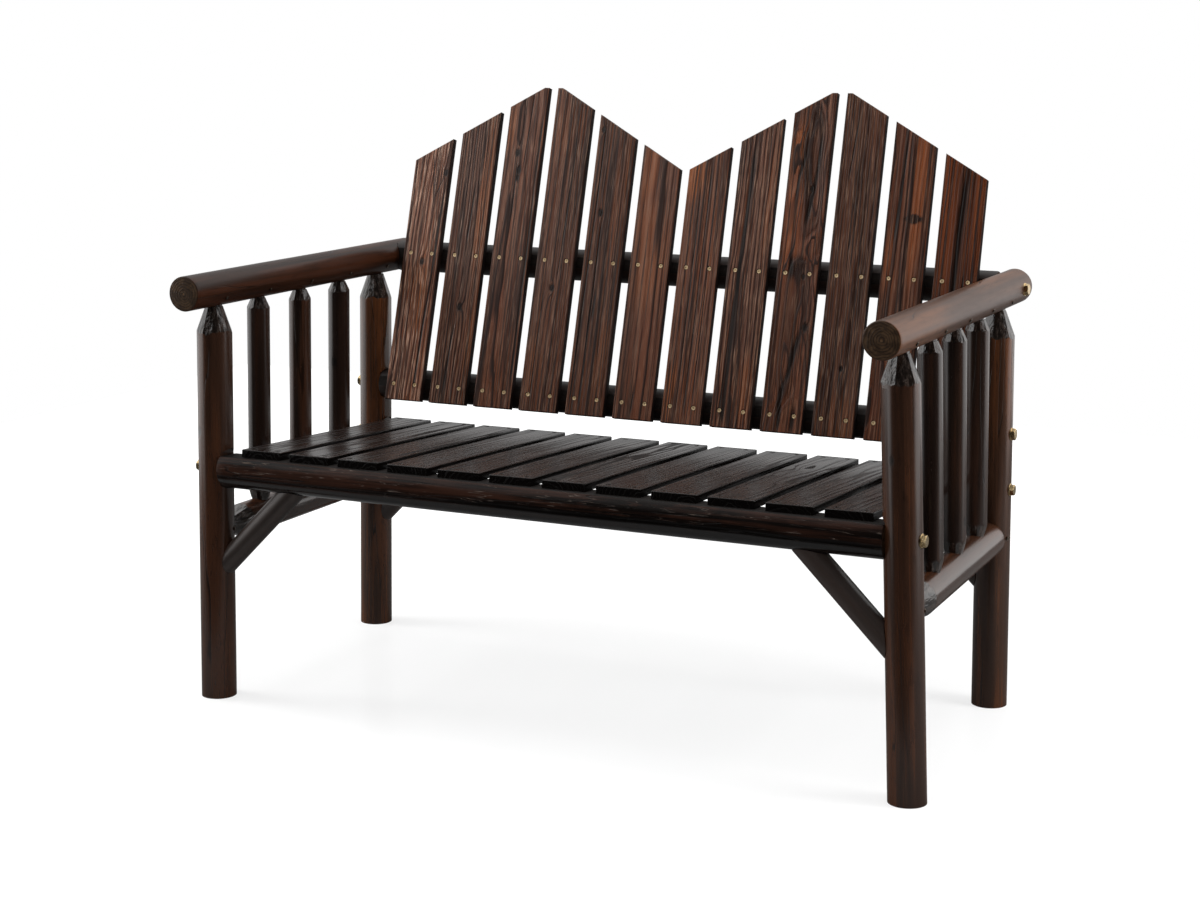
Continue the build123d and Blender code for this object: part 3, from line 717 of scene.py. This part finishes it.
def carve_end(log, radius, neck_radius, shoulder, neck, strokes, rng, tenon):
    side = 1 if neck > shoulder else -1
    slope = math.atan2(radius - neck_radius, abs(neck - shoulder))
    start = rng.uniform(0, math.tau)
    for stroke in range(strokes):
        angle = start + math.tau * (stroke + rng.uniform(-0.16, 0.16)) / strokes
        lean = slope * rng.uniform(0.95, 1.06)
        normal = Vector((math.cos(angle) * math.cos(lean), math.sin(angle) * math.cos(lean),
                         side * math.sin(lean)))
        reach = neck_radius + rng.uniform(0.0, BITE)
        touch = Vector((math.cos(angle) * reach, math.sin(angle) * reach, neck))
        slice_off(log, touch, normal, CUT)
    slice_off(log, Vector((0, 0, neck)), Vector((0, 0, side)), CUT)
    log.faces.ensure_lookup_table()
    top = max(log.faces, key=lambda f: side * f.calc_center_median().z + abs(f.normal.z))
    bmesh.ops.inset_individual(log, faces=[top], thickness=TENON_STEP)
    stem = bmesh.ops.extrude_discrete_faces(log, faces=[top])["faces"][0]
    bmesh.ops.translate(log, verts=stem.verts, vec=(0, 0, side * tenon))


print("knife ready")


# %% From a shape to a piece of the bench
def to_piece(name, shape, place=Matrix()):
    mesh = bpy.data.meshes.new(name)
    shape.to_mesh(mesh)
    shape.free()
    mesh.transform(place)
    return add_object(name, mesh)


def smooth_below(mesh, degrees):
    mesh.polygons.foreach_set("use_smooth", [True] * len(mesh.polygons))
    mesh.set_sharp_from_angle(angle=math.radians(degrees))


def stand_for(piece, node):
    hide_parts(node)
    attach(piece, "root")


def apply_modifiers(piece):
    graph = bpy.context.evaluated_depsgraph_get()
    finished = bpy.data.meshes.new_from_object(piece.evaluated_get(graph))
    piece.modifiers.clear()
    piece.data = finished


def cut_with(piece, cutters, operation="DIFFERENCE"):
    for cutter in cutters:
        hole = piece.modifiers.new("bore", "BOOLEAN")
        hole.operation, hole.solver, hole.object = operation, "EXACT", cutter
    if cutters:
        apply_modifiers(piece)
        for cutter in cutters:
            bpy.data.objects.remove(cutter)


print("pieces can be made and cut")


# %% [markdown]
# A finished log gets its bores first, because a Boolean makes new points, and only then the
# attributes that its finish reads. A last narrow Bevel wears the knife's and the saw's edges.


# %% Finished logs
LOG_CORNER, LOG_EASE, WOOD_STEP = 24, 0.0006, 1.37


def round_cutter(centre, along, radius, reach):
    hole = bmesh.new()
    bmesh.ops.create_cone(hole, cap_ends=True, segments=BORE_SIDES, radius1=radius,
                          radius2=radius, depth=reach)
    bmesh.ops.translate(hole, verts=hole.verts, vec=(0, 0, reach / 2))
    turn = along.to_track_quat("Z", "Y").to_matrix().to_4x4()
    cutter = to_piece("cutter", hole, Matrix.Translation(centre) @ turn)
    cutter.data.materials.append(LOG_FINISHES["post"][SHAFT])
    return cutter


def finish_log(name, log, place, node, kind, warmth, seed, cutters=()):
    bmesh.ops.remove_doubles(log, verts=log.verts, dist=MERGE)
    bmesh.ops.recalc_face_normals(log, faces=log.faces)
    piece = to_piece(name, log, place)
    for finish in LOG_FINISHES[kind]:
        piece.data.materials.append(finish)
    cut_with(piece, cutters)
    mesh, back, shift = piece.data, place.inverted(), Vector((0, 0, seed * WOOD_STEP))
    wood = mesh.attributes.new("wood", "FLOAT_VECTOR", "POINT")
    wood.data.foreach_set("vector", [v for vert in mesh.vertices for v in (back @ vert.co + shift)])
    tone = mesh.attributes.new("warmth", "FLOAT", "POINT")
    tone.data.foreach_set("value", [warmth] * len(mesh.vertices))
    smooth_below(mesh, LOG_CORNER)
    soften = piece.modifiers.new("worn_edges", "BEVEL")
    soften.width, soften.segments = LOG_EASE, 2
    soften.limit_method, soften.angle_limit = "ANGLE", math.radians(LOG_CORNER)
    stand_for(piece, node)


print("logs can be finished")

# %% [markdown]
# ## Posts
# The four posts carry everything. Their feet lean out a little, the front right one most, as
# the photograph shows. Four copies of one post would be quicker, but each real one was carved
# by itself, so each gets its own strokes. It is bored for the rails' ends and for the washers.

# %% Posts
POST_RADIUS, NECK_RADIUS, HEAD, TENON, TENON_PLAY = 0.0295, 0.0140, 0.045, 0.030, 0.001
LEAN = {"front_left": 0.5, "front_right": 2.0, "rear_left": 0.6, "rear_right": 0.2}
SIGNS = {"front_left": (-1, -1), "front_right": (1, -1), "rear_left": (-1, 1), "rear_right": (1, 1)}
# how warm each post's stain came out; the rear posts' high values are partly painted light for the
# light under the seat
POST_STAIN_AND_LIGHT = {"front_left": 0.35, "front_right": 0.55, "rear_left": 0.9, "rear_right": 1.0}
ARM_RADIUS = (left_arm[1].x - left_arm[0].x) / 2
RAILS = {
    # place from front to back, height, radius
    "front_seat_rail": (-HALF_DEPTH, 0.3910, 0.0330),
    "rear_seat_rail": (HALF_DEPTH, 0.3655, 0.0285),
    "lower_back_rail": (HALF_DEPTH, 0.4585, 0.0285),
    "upper_back_rail": (HALF_DEPTH + 0.066, ARM_HEIGHT, 0.0285),
}
POST_RAILS = {-1: ["front_seat_rail"], 1: ["rear_seat_rail", "lower_back_rail"]}
POST_HOUSING, ARM_HOUSING, SPOT_RADIUS, GAP = 0.008, 0.012, 0.0113, 0.0003
OVERRUN, BORE_REACH, SPOT_REACH = 0.02, 0.05, 0.02


def post_x(corner, z):
    side = SIGNS[corner][0]
    return side * (HALF_WIDTH + (ARM_HEIGHT - z) * math.tan(math.radians(LEAN[corner])))


def axis_place(foot, head):
    turn = (head - foot).to_track_quat("Z", "Y").to_matrix().to_4x4()
    return Matrix.Translation(foot) @ turn


def rail_bores(rail, side, log_x, log_radius, housing):
    y, z, radius = RAILS[rail]
    inner = log_x - side * (log_radius - housing) + side * GAP
    outer = log_x + side * math.sqrt(log_radius ** 2 - SPOT_RADIUS ** 2)
    return [round_cutter(bench(inner, y, z), Vector((-side, 0, 0)), radius + GAP, BORE_REACH),
            round_cutter(bench(outer, y, z), Vector((side, 0, 0)), SPOT_RADIUS, SPOT_REACH)]


for seed, (corner, (side, row)) in enumerate(SIGNS.items()):
    foot = bench(post_x(corner, 0), row * HALF_DEPTH, 0)
    place = axis_place(foot, bench(post_x(corner, ARM_HEIGHT), row * HALF_DEPTH, ARM_HEIGHT))
    neck = (ARM_HEIGHT - ARM_RADIUS) / math.cos(math.radians(LEAN[corner]))
    post = log_blank(POST_RADIUS, -OVERRUN, neck + OVERRUN, POST_SEED + seed)
    carve_end(post, POST_RADIUS, NECK_RADIUS, neck - HEAD, neck, POST_STROKES,
              random.Random(POST_DICE + seed), TENON - TENON_PLAY)
    level_floor = place.inverted().to_3x3() @ Vector((0, 0, -1))
    slice_off(post, place.inverted() @ foot, level_floor, SAWN)
    cutters = []
    for rail in POST_RAILS[row]:
        post_at = post_x(corner, RAILS[rail][1])
        cutters += rail_bores(rail, side, post_at, POST_RADIUS, POST_HOUSING)
    finish_log(corner + "_post_log", post, place, corner + "_post",
               "post" if row < 0 else "rear", POST_STAIN_AND_LIGHT[corner], POST_SEED + seed, cutters)
print("posts carved:", len(SIGNS))

# %% [markdown]
# ## Armrests
# Two plain logs lie on the posts and spindles. Their sawn front ends face the camera, with the
# growth rings showing on the left one. The rim of each end is eased: a modifier would round
# every edge of the log, and the bevel operator takes just the rims.


# %% Armrests
def ease_rims(log, width, segments=3):
    rims = [e for e in log.edges if len(e.link_faces) == 2
            and {f.material_index for f in e.link_faces} == {SHAFT, SAWN}]
    bmesh.ops.bevel(log, geom=rims, offset=width, affect="EDGES", segments=segments,
                    profile=0.5, material=-1)


SIDES = (("left", -1), ("right", 1))
PARE_LESS, ARM_EASE, ARM_WARMTH = 0.018, 0.0022, 0.75
for seed, (name, side) in enumerate(SIDES):
    low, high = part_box(name + "_armrest")
    centre_x, centre_z = (low.x + high.x) / 2, (low.z + high.z) / 2
    start, end = Vector((centre_x, low.y, centre_z)), Vector((centre_x, high.y, centre_z))
    arm = log_blank(ARM_RADIUS, 0, (end - start).length, ARM_SEED + seed, pare=PARE_LESS)
    ease_rims(arm, ARM_EASE)
    cutters = rail_bores("upper_back_rail", side, side * HALF_WIDTH, ARM_RADIUS, ARM_HOUSING)
    finish_log(name + "_armrest_log", arm, axis_place(start, end), name + "_armrest",
               name + "_arm", ARM_WARMTH, ARM_SEED + seed, cutters)
print("armrests laid")

# %% [markdown]
# ## Stretchers and spindles
# A side stretcher joins the posts low down: its front end is carved to a point, its rear end is
# sawn square. Three spindles stand on it, carved at both ends. They could be one mesh that is
# mirrored to the other side, but the right side's spindles stand a little further back.

# %% Stretchers and spindles
STRETCHER_RADIUS, STRETCHER_HEIGHT, STRETCHER_POINT, TIP_RADIUS = 0.0285, 0.286, 0.044, 0.0145
STRETCHER_EASE, STRETCHER_WARMTH = 0.0016, 0.45
SPINDLE_RADIUS, SPINDLE_WARMTH = 0.0195, (0.35, 0.6, 0.3)
TOP_RADIUS, TOP_POINT, FOOT_RADIUS, FOOT_POINT = 0.0112, 0.019, 0.0145, 0.020
SPINDLE_SHIFT = {"left": 0.0, "right": 0.013}


def stretcher_point(name, y):
    front, rear = (post_x(row + name, STRETCHER_HEIGHT) for row in ("front_", "rear_"))
    return bench(front + (rear - front) * (y + HALF_DEPTH) / (2 * HALF_DEPTH), y, STRETCHER_HEIGHT)


for seed, (name, side) in enumerate(SIDES):
    rng = random.Random(SIDE_DICE + seed)
    place = axis_place(stretcher_point(name, -HALF_DEPTH), stretcher_point(name, HALF_DEPTH))
    tip, square_end = POST_RADIUS + GAP, 2 * HALF_DEPTH - POST_RADIUS - GAP
    stretcher = log_blank(STRETCHER_RADIUS, tip - OVERRUN, square_end, STRETCHER_SEED + seed)
    carve_end(stretcher, STRETCHER_RADIUS, TIP_RADIUS, tip + STRETCHER_POINT, tip, TIP_STROKES,
              rng, TENON - 2 * TENON_PLAY)
    ease_rims(stretcher, STRETCHER_EASE, 2)
    finish_log(name + "_side_stretcher_log", stretcher, place, name + "_side_stretcher",
               "post", STRETCHER_WARMTH, STRETCHER_SEED + seed)
    for number, warmth in enumerate(SPINDLE_WARMTH):
        y = SPINDLE_SHIFT[name] + (number - 1) * HALF_DEPTH / 2
        foot, head = stretcher_point(name, y), bench(side * HALF_WIDTH, y, ARM_HEIGHT)
        low_neck, high_neck = STRETCHER_RADIUS + GAP, (head - foot).length - ARM_RADIUS - GAP
        own = SPINDLE_SEED + seed * len(SPINDLE_WARMTH) + number
        spindle = log_blank(SPINDLE_RADIUS, low_neck - OVERRUN, high_neck + OVERRUN, own,
                            POLE_SIDES)
        carve_end(spindle, SPINDLE_RADIUS, TOP_RADIUS, high_neck - TOP_POINT, high_neck,
                  TOP_STROKES, rng, TENON)
        carve_end(spindle, SPINDLE_RADIUS, FOOT_RADIUS, low_neck + FOOT_POINT, low_neck,
                  FOOT_STROKES, rng, TENON)
        node = "%s_spindle_%d" % (name, number + 1)
        finish_log(node + "_pole", spindle, axis_place(foot, head), node, "pole",
                   warmth, own)
print("stretchers and spindles carved")

# %% [markdown]
# ## Rails
# The four cross rails have one side planed flat, where the boards lie. The flat could be
# modelled as a second shape, but one plane cut along the log is what the plane does too.

# %% Rails
SEAT_UP = Vector((0, math.sin(SEAT_TILT), math.cos(SEAT_TILT)))
BACK_OUT = Vector((0, -math.cos(RECLINE), math.sin(RECLINE)))
RAIL_PITCH, RAIL_EASE = 0.014, 0.0026
FLATS = {"front_seat_rail": (0.021757, SEAT_UP), "rear_seat_rail": (0.014970, SEAT_UP),
         "lower_back_rail": (0.0265, BACK_OUT), "upper_back_rail": (0.0265, BACK_OUT)}

for seed, (node, (y, z, radius)) in enumerate(RAILS.items()):
    low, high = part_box(node)
    start, end = (Vector((x, bench(0, y, z).y, z)) for x in (low.x, high.x))
    place = axis_place(start, end)
    rail = log_blank(radius, 0, high.x - low.x, RAIL_SEED + seed, pitch=RAIL_PITCH,
                     pare=PARE_LESS)
    ease_rims(rail, RAIL_EASE)
    distance, outward = FLATS[node]
    turned = place.inverted().to_3x3() @ outward
    slice_off(rail, turned * distance, turned, PLANED)
    kind, warmth = ("front_rail", 0.9) if node == "front_seat_rail" else ("rail", 0.4)
    finish_log(node + "_log", rail, place, node, kind, warmth, RAIL_SEED + seed)
print("rails planed:", len(RAILS))

# %% [markdown]
# ## Braces
# Short braces stand in the corners under the seat, hollowed at both ends to fit the post and
# the rail. Each blank is made too long, and the post's and the rail's own shapes, a hair wider,
# are taken out of it, as a curved saw cut does.

# %% Braces
BRACE_LEG = {-1: 0.118, 1: 0.112}
BRACE_SINK, BRACE_SPARE, BRACE_WARMTH = 0.028, 0.052, 0.5
RAIL_CUT_START, RAIL_CUT_REACH = 0.1, 0.75

for seed, (corner, (side, row)) in enumerate(SIGNS.items()):
    y, z, radius = RAILS[POST_RAILS[row][0]]
    leg = BRACE_LEG[row]
    foot_z = z - radius - leg
    foot = bench(post_x(corner, foot_z) - side * POST_RADIUS, y, foot_z)
    along = Vector((-side, 0, 1)).normalized()
    start, span = foot - along * BRACE_SINK, leg * math.sqrt(2) + BRACE_SPARE
    brace = log_blank(SPINDLE_RADIUS, 0, span, BRACE_SEED + seed, POLE_SIDES)
    lean = bench(post_x(corner, ARM_HEIGHT), y, ARM_HEIGHT) - bench(post_x(corner, 0), y, 0)
    cutters = [round_cutter(bench(post_x(corner, 0), y, 0), lean.normalized(),
                            POST_RADIUS + GAP, ARM_HEIGHT),
               round_cutter(bench(-side * RAIL_CUT_START, y, z), Vector((side, 0, 0)),
                            radius + GAP, RAIL_CUT_REACH)]
    finish_log(corner + "_brace_pole", brace, axis_place(start, start + along * span),
               corner + "_brace", "brace", BRACE_WARMTH, BRACE_SEED + seed,
               cutters)
print("braces fitted:", len(SIGNS))

# %% [markdown]
# ## Hardware
# The bolts, washers and screws are steel with a yellow zinc plating, bright where it faces the
# light; the seat's screws went dark under the stain. Their places could be listed by hand, but
# the solids hold them already: each island of a node is one fastener.


# %% Metal finishes
def metal_finish(name, shade, dull, gloss, metallic=1.0, relief=0.00012):
    material, wire = open_material(name)
    here = wire.node("ShaderNodeTexCoord", out="Object")
    cloudy = here.cloud(320.0, 3.0)
    scratch = here.flecks(900, 2600)
    tone = cloudy.between(0.35, 0.7).tint(dull, shade)
    height = scratch * 0.4 + cloudy * 0.3
    return close_material(material, wire, tone, gloss + scratch * 0.18, height, relief,
                          {"Metallic": metallic})


yellow_zinc = metal_finish("yellow_zinc", (0.78, 0.62, 0.36), (0.52, 0.37, 0.19), 0.16)
screw_zinc = metal_finish("screw_zinc", (0.82, 0.63, 0.38), (0.46, 0.33, 0.18), 0.34, 0.55)
stained_zinc = metal_finish("stained_zinc", (0.12, 0.085, 0.055), (0.030, 0.020, 0.014), 0.45)
nail_steel = metal_finish("nail_steel", (0.28, 0.24, 0.20), (0.08, 0.065, 0.05), 0.40)
print("metal finishes ready")


# %% Where the fasteners are
def islands(node):
    copy = bmesh.new()
    copy.from_mesh(nodes[node].data)
    bmesh.ops.remove_doubles(copy, verts=copy.verts, dist=MERGE)
    left, found = set(copy.verts), []
    while left:
        stack, island = [left.pop()], []
        while stack:
            vert = stack.pop()
            island.append(vert.co.copy())
            for edge in vert.link_edges:
                other = edge.other_vert(vert)
                if other in left:
                    left.remove(other)
                    stack.append(other)
        found.append(sorted(island, key=tuple))
    copy.free()
    return sorted(found, key=lambda island: tuple(island[0]))


def outer_face(island, outward, same_plane=1e-5):
    furthest = max(point.dot(outward) for point in island)
    rim = [point for point in island if furthest - point.dot(outward) < same_plane]
    return sum(rim, Vector((0, 0, 0))) / len(rim)


def head_place(island, outward, full_turn):
    face = Matrix.Translation(outer_face(island, outward))
    turn = Matrix.Rotation(dice.uniform(0, full_turn), 4, "Z")
    return face @ outward.to_track_quat("Z", "Y").to_matrix().to_4x4() @ turn


def sideways_heads(node):
    return [head_place(island, Vector((1 if island[0].x > middle.x else -1, 0, 0)), math.tau)
            for island in islands(node)]


FASTENERS = ("frame_bolts", "bolt_washers", "seat_slat_screws", "back_slat_screws", "tenon_nails")
print("fasteners:", {node: len(islands(node)) for node in FASTENERS})

# %% [markdown]
# Each kind of fastener is modelled once, with its head at the origin and pointing up Z. The
# copies could be separate objects, but placed in one mesh they stay one piece for one node.


# %% Fastener shapes
METAL_CORNER = 32


def turned_shape(outline, steps=28):
    turned = bmesh.new()
    points = [turned.verts.new((radius, 0, height)) for radius, height in outline]
    for first, second in zip(points, points[1:]):
        turned.edges.new((first, second))
    bmesh.ops.spin(turned, geom=turned.verts[:] + turned.edges[:], cent=(0, 0, 0),
                   axis=(0, 0, 1), angle=math.tau, steps=steps, use_merge=True)
    bmesh.ops.remove_doubles(turned, verts=turned.verts, dist=MERGE / 10)
    bmesh.ops.recalc_face_normals(turned, faces=turned.faces)
    return turned


def scatter(name, pattern, places, node, finish):
    whole = bmesh.new()
    for place in places:
        one = pattern.data.copy()
        one.transform(place)
        whole.from_mesh(one)
        bpy.data.meshes.remove(one)
    bpy.data.objects.remove(pattern)
    piece = to_piece(name, whole)
    give(piece, finish)
    smooth_below(piece.data, METAL_CORNER)
    stand_for(piece, node)


print("fastener shapes ready")

# %% [markdown]
# A bolt's head is a hexagon whose corners were turned off on a lathe. So a six-sided cone
# operator is crossed with a flat dome, and the Boolean leaves the rounded corners by itself.

# %% Bolts and washers, in (radius, height) outlines
HEX_HEIGHT, HEX_HALF = 0.0064, 0.0085
HEX_CORNER = HEX_HALF / math.cos(math.pi / 6)
DOME = [(0, 0), (HEX_HALF * 0.94, 0), (HEX_HALF * 1.3, -0.0021), (HEX_HALF * 1.3, -0.02),
        (0, -0.02)]
SHANK = [(0, -HEX_HEIGHT + 0.0002), (0.005, -HEX_HEIGHT + 0.0002), (0.005, -0.066), (0, -0.068)]
WASHER = [(0.0053, -0.0002), (0.0058, 0), (0.0104, 0), (0.011, -0.0006), (0.011, -0.002),
          (0.0053, -0.002), (0.0053, -0.0002)]

hexagon = bmesh.new()
bmesh.ops.create_cone(hexagon, cap_ends=True, segments=6, radius1=HEX_CORNER,
                      radius2=HEX_CORNER, depth=HEX_HEIGHT)
bmesh.ops.translate(hexagon, verts=hexagon.verts, vec=(0, 0, -HEX_HEIGHT / 2))
head = to_piece("bolt", hexagon)
cut_with(head, [to_piece("dome", turned_shape(DOME))], "INTERSECT")
shank = to_piece("shank", turned_shape(SHANK))
bolt = bmesh.new()
for half in (head, shank):
    bolt.from_mesh(half.data)
    bpy.data.objects.remove(half)
scatter("hexagon_bolts", to_piece("bolt", bolt), sideways_heads("frame_bolts"),
        "frame_bolts", yellow_zinc)
scatter("flat_washers", to_piece("washer", turned_shape(WASHER, steps=48)),
        sideways_heads("bolt_washers"), "bolt_washers", yellow_zinc)
print("bolts and washers placed")

# %% [markdown]
# The screws are countersunk, with a cross recess. The cross could be drawn by a material, but
# it is seen from close by, so two thin wedges are taken out of the head by a Boolean modifier,
# before the screw is copied. The nails are small enough for the solids' own shape.

# %% Screws and nails
SCREW = [(0, -0.0020), (0.0010, -0.0020), (0.0017, -0.0001), (0.0033, 0), (0.0036, -0.0003),
         (0.0020, -0.0022), (0.0018, -0.030), (0, -0.0332)]
WING_SIZE, WING_TAPER = (0.0050, 0.0014, 0.0028), 0.35

screw = to_piece("screw", turned_shape(SCREW, steps=24))
wings = []
for quarter in (0, 1):
    wing = bmesh.new()
    bmesh.ops.create_cube(wing, size=1.0)
    bmesh.ops.scale(wing, verts=wing.verts, vec=WING_SIZE)
    tips = [vert for vert in wing.verts if vert.co.z < 0]
    bmesh.ops.scale(wing, verts=tips, vec=(WING_TAPER, 1, 1))
    bmesh.ops.rotate(wing, verts=wing.verts, matrix=Matrix.Rotation(quarter * math.pi / 2, 3, "Z"))
    wings.append(to_piece("wing", wing))
cut_with(screw, wings)

for name, node, outward, zinc in (("seat_screws", "seat_slat_screws", SEAT_UP, stained_zinc),
                                  ("back_screws", "back_slat_screws", BACK_OUT, screw_zinc)):
    places = [head_place(island, outward, math.pi) for island in islands(node)]
    pattern = bpy.data.objects.new("screw", screw.data)
    scatter(name, pattern, places, node, zinc)
bpy.data.objects.remove(screw)
give(nodes["tenon_nails"], nail_steel)
print("screws driven")

# %% [markdown]
# ## The studio
# The bench stands on a white floor that fades into a white room. A big curved backdrop could
# make that, but it would hide the bench from behind. Here the room is the world itself: seen by
# the camera it is plain white; seen by the lacquer it is bright above, behind and beside the
# bench, and dim on the photographer's side, which keeps the dark stain dark.

# %% Floor
WHITE = (1.0, 1.0, 1.0)
FLOOR_HALF, FLOOR_WIDEN, FLOOR_BACK = 2.0, 1.3, 0.75


def grey(level):
    return (level, level, level)


floor = bmesh.new()
bmesh.ops.create_grid(floor, x_segments=1, y_segments=1, size=FLOOR_HALF)
bmesh.ops.scale(floor, verts=floor.verts, vec=(FLOOR_WIDEN, 1.0, 1.0))
bmesh.ops.translate(floor, verts=floor.verts, vec=(0.0, FLOOR_BACK, 0.0))
floor = to_piece("floor", floor)
material, wire = open_material("studio_floor")
seen, mirrored = wire.ray("Camera"), wire.ray("Glossy")
spot = wire.node("ShaderNodeTexCoord", out="Object")
near = spot.part(1).between(-0.78, -0.55).tint(grey(0.01), grey(0.13))
far = spot.vector("LENGTH", out=1).between(0.95, 1.9)
matt = wire.node("ShaderNodeBsdfDiffuse", {"Color": colour(grey(0.27))})
shine = wire.node("ShaderNodeBsdfGlossy", {"Color": colour(grey(0.05)), "Roughness": 0.12})
glow = wire.node("ShaderNodeEmission", {"Color": far.tint(WHITE, grey(1.45)), "Strength": 0.69})
lit = wire.node("ShaderNodeAddShader", {0: matt, 1: glow})
lit = wire.node("ShaderNodeAddShader", {0: lit, 1: shine})
plain = wire.node("ShaderNodeBsdfDiffuse", {"Color": mirrored.tint(grey(0.28), near)})
mixed = wire.node("ShaderNodeMixShader", {0: seen, 1: plain, 2: lit})
wire.node("ShaderNodeOutputMaterial", {"Surface": mixed})
floor.data.materials.append(material)
floor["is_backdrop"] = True
print("floor laid")

# %% Room
world = bpy.data.worlds.new("white_room")
bpy.context.scene.world = world
world.use_nodes = True
world.node_tree.nodes.clear()
sky = Wire(world.node_tree)
seen, mirrored, passed = (sky.ray(kind) for kind in ("Camera", "Glossy", "Transmission"))
way = sky.node("ShaderNodeTexCoord", out="Generated")
behind = way.vector("DOT_PRODUCT", (-0.43, 0.90, 0.0), out=1)
bright = behind.between(-0.42, -0.10) * (1.5 - behind.between(0.58, 0.92) * 0.95)
above = way.part(2).between(0.60, 0.88)
bright = bright.sum("MAXIMUM", bright, above * 0.5)
room = bright.sum("MAXIMUM", bright, 0.012)
shade = mirrored * room + (1.0 - mirrored) * (room * 0.35 + 0.14)
shade = seen.tint(passed.tint(shade, WHITE), WHITE)
backdrop = sky.node("ShaderNodeBackground", {"Color": shade, "Strength": 1.0})
sky.node("ShaderNodeOutputWorld", {"Surface": backdrop})
bpy.context.scene.view_settings.view_transform = "Standard"
print("room is white")

# %% [markdown]
# ## The lamps
# A softbox hangs over the bench, one stands at each side, and two weaker ones fill from the
# camera and from the front left. One large lamp would do for the light, but the lacquer would
# mirror it as a hard patch, so all but the weakest are hidden from reflections.


# %% Lamps
def softbox(name, place, target, size, watts):
    lamp = bpy.data.lights.new(name, "AREA")
    lamp.shape, lamp.size, lamp.size_y, lamp.energy = "RECTANGLE", size[0], size[1], watts
    box = add_object(name, lamp)
    box.location = bench(*place)
    box.rotation_euler = (bench(*target) - box.location).to_track_quat("-Z", "Y").to_euler()
    return box


SEAT_MIDDLE, BACK_MIDDLE = (0.0, 0.0, 0.5), (0.0, 0.2, 0.7)
for name, place, size, watts in (("overhead", (0.0, 0.0, 3.0), (3.0, 2.0), 66),
                                 ("left_side", (-3.0, -0.5, 1.3), (1.2, 2.2), 80),
                                 ("right_side", (2.9, 0.3, 1.1), (1.2, 2.2), 88),
                                 ("camera_fill", (0.6, -3.6, 2.4), (2.0, 1.4), 44)):
    softbox(name, place, SEAT_MIDDLE, size, watts).visible_glossy = False
softbox("front_left", (-1.95, -2.45, 2.6), BACK_MIDDLE, (1.9, 1.5), 9)
print("lamps on")

# %% [markdown]
# The last step writes down how large the solids and the dressed bench are, so that the two can
# be compared, and hands the scene over.

# %% Record the two sizes and finish
size = {"cad": cad_box, "visual": [list(corner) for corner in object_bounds()]}
print("visual box:", [rounded(corner) for corner in size["visual"]])
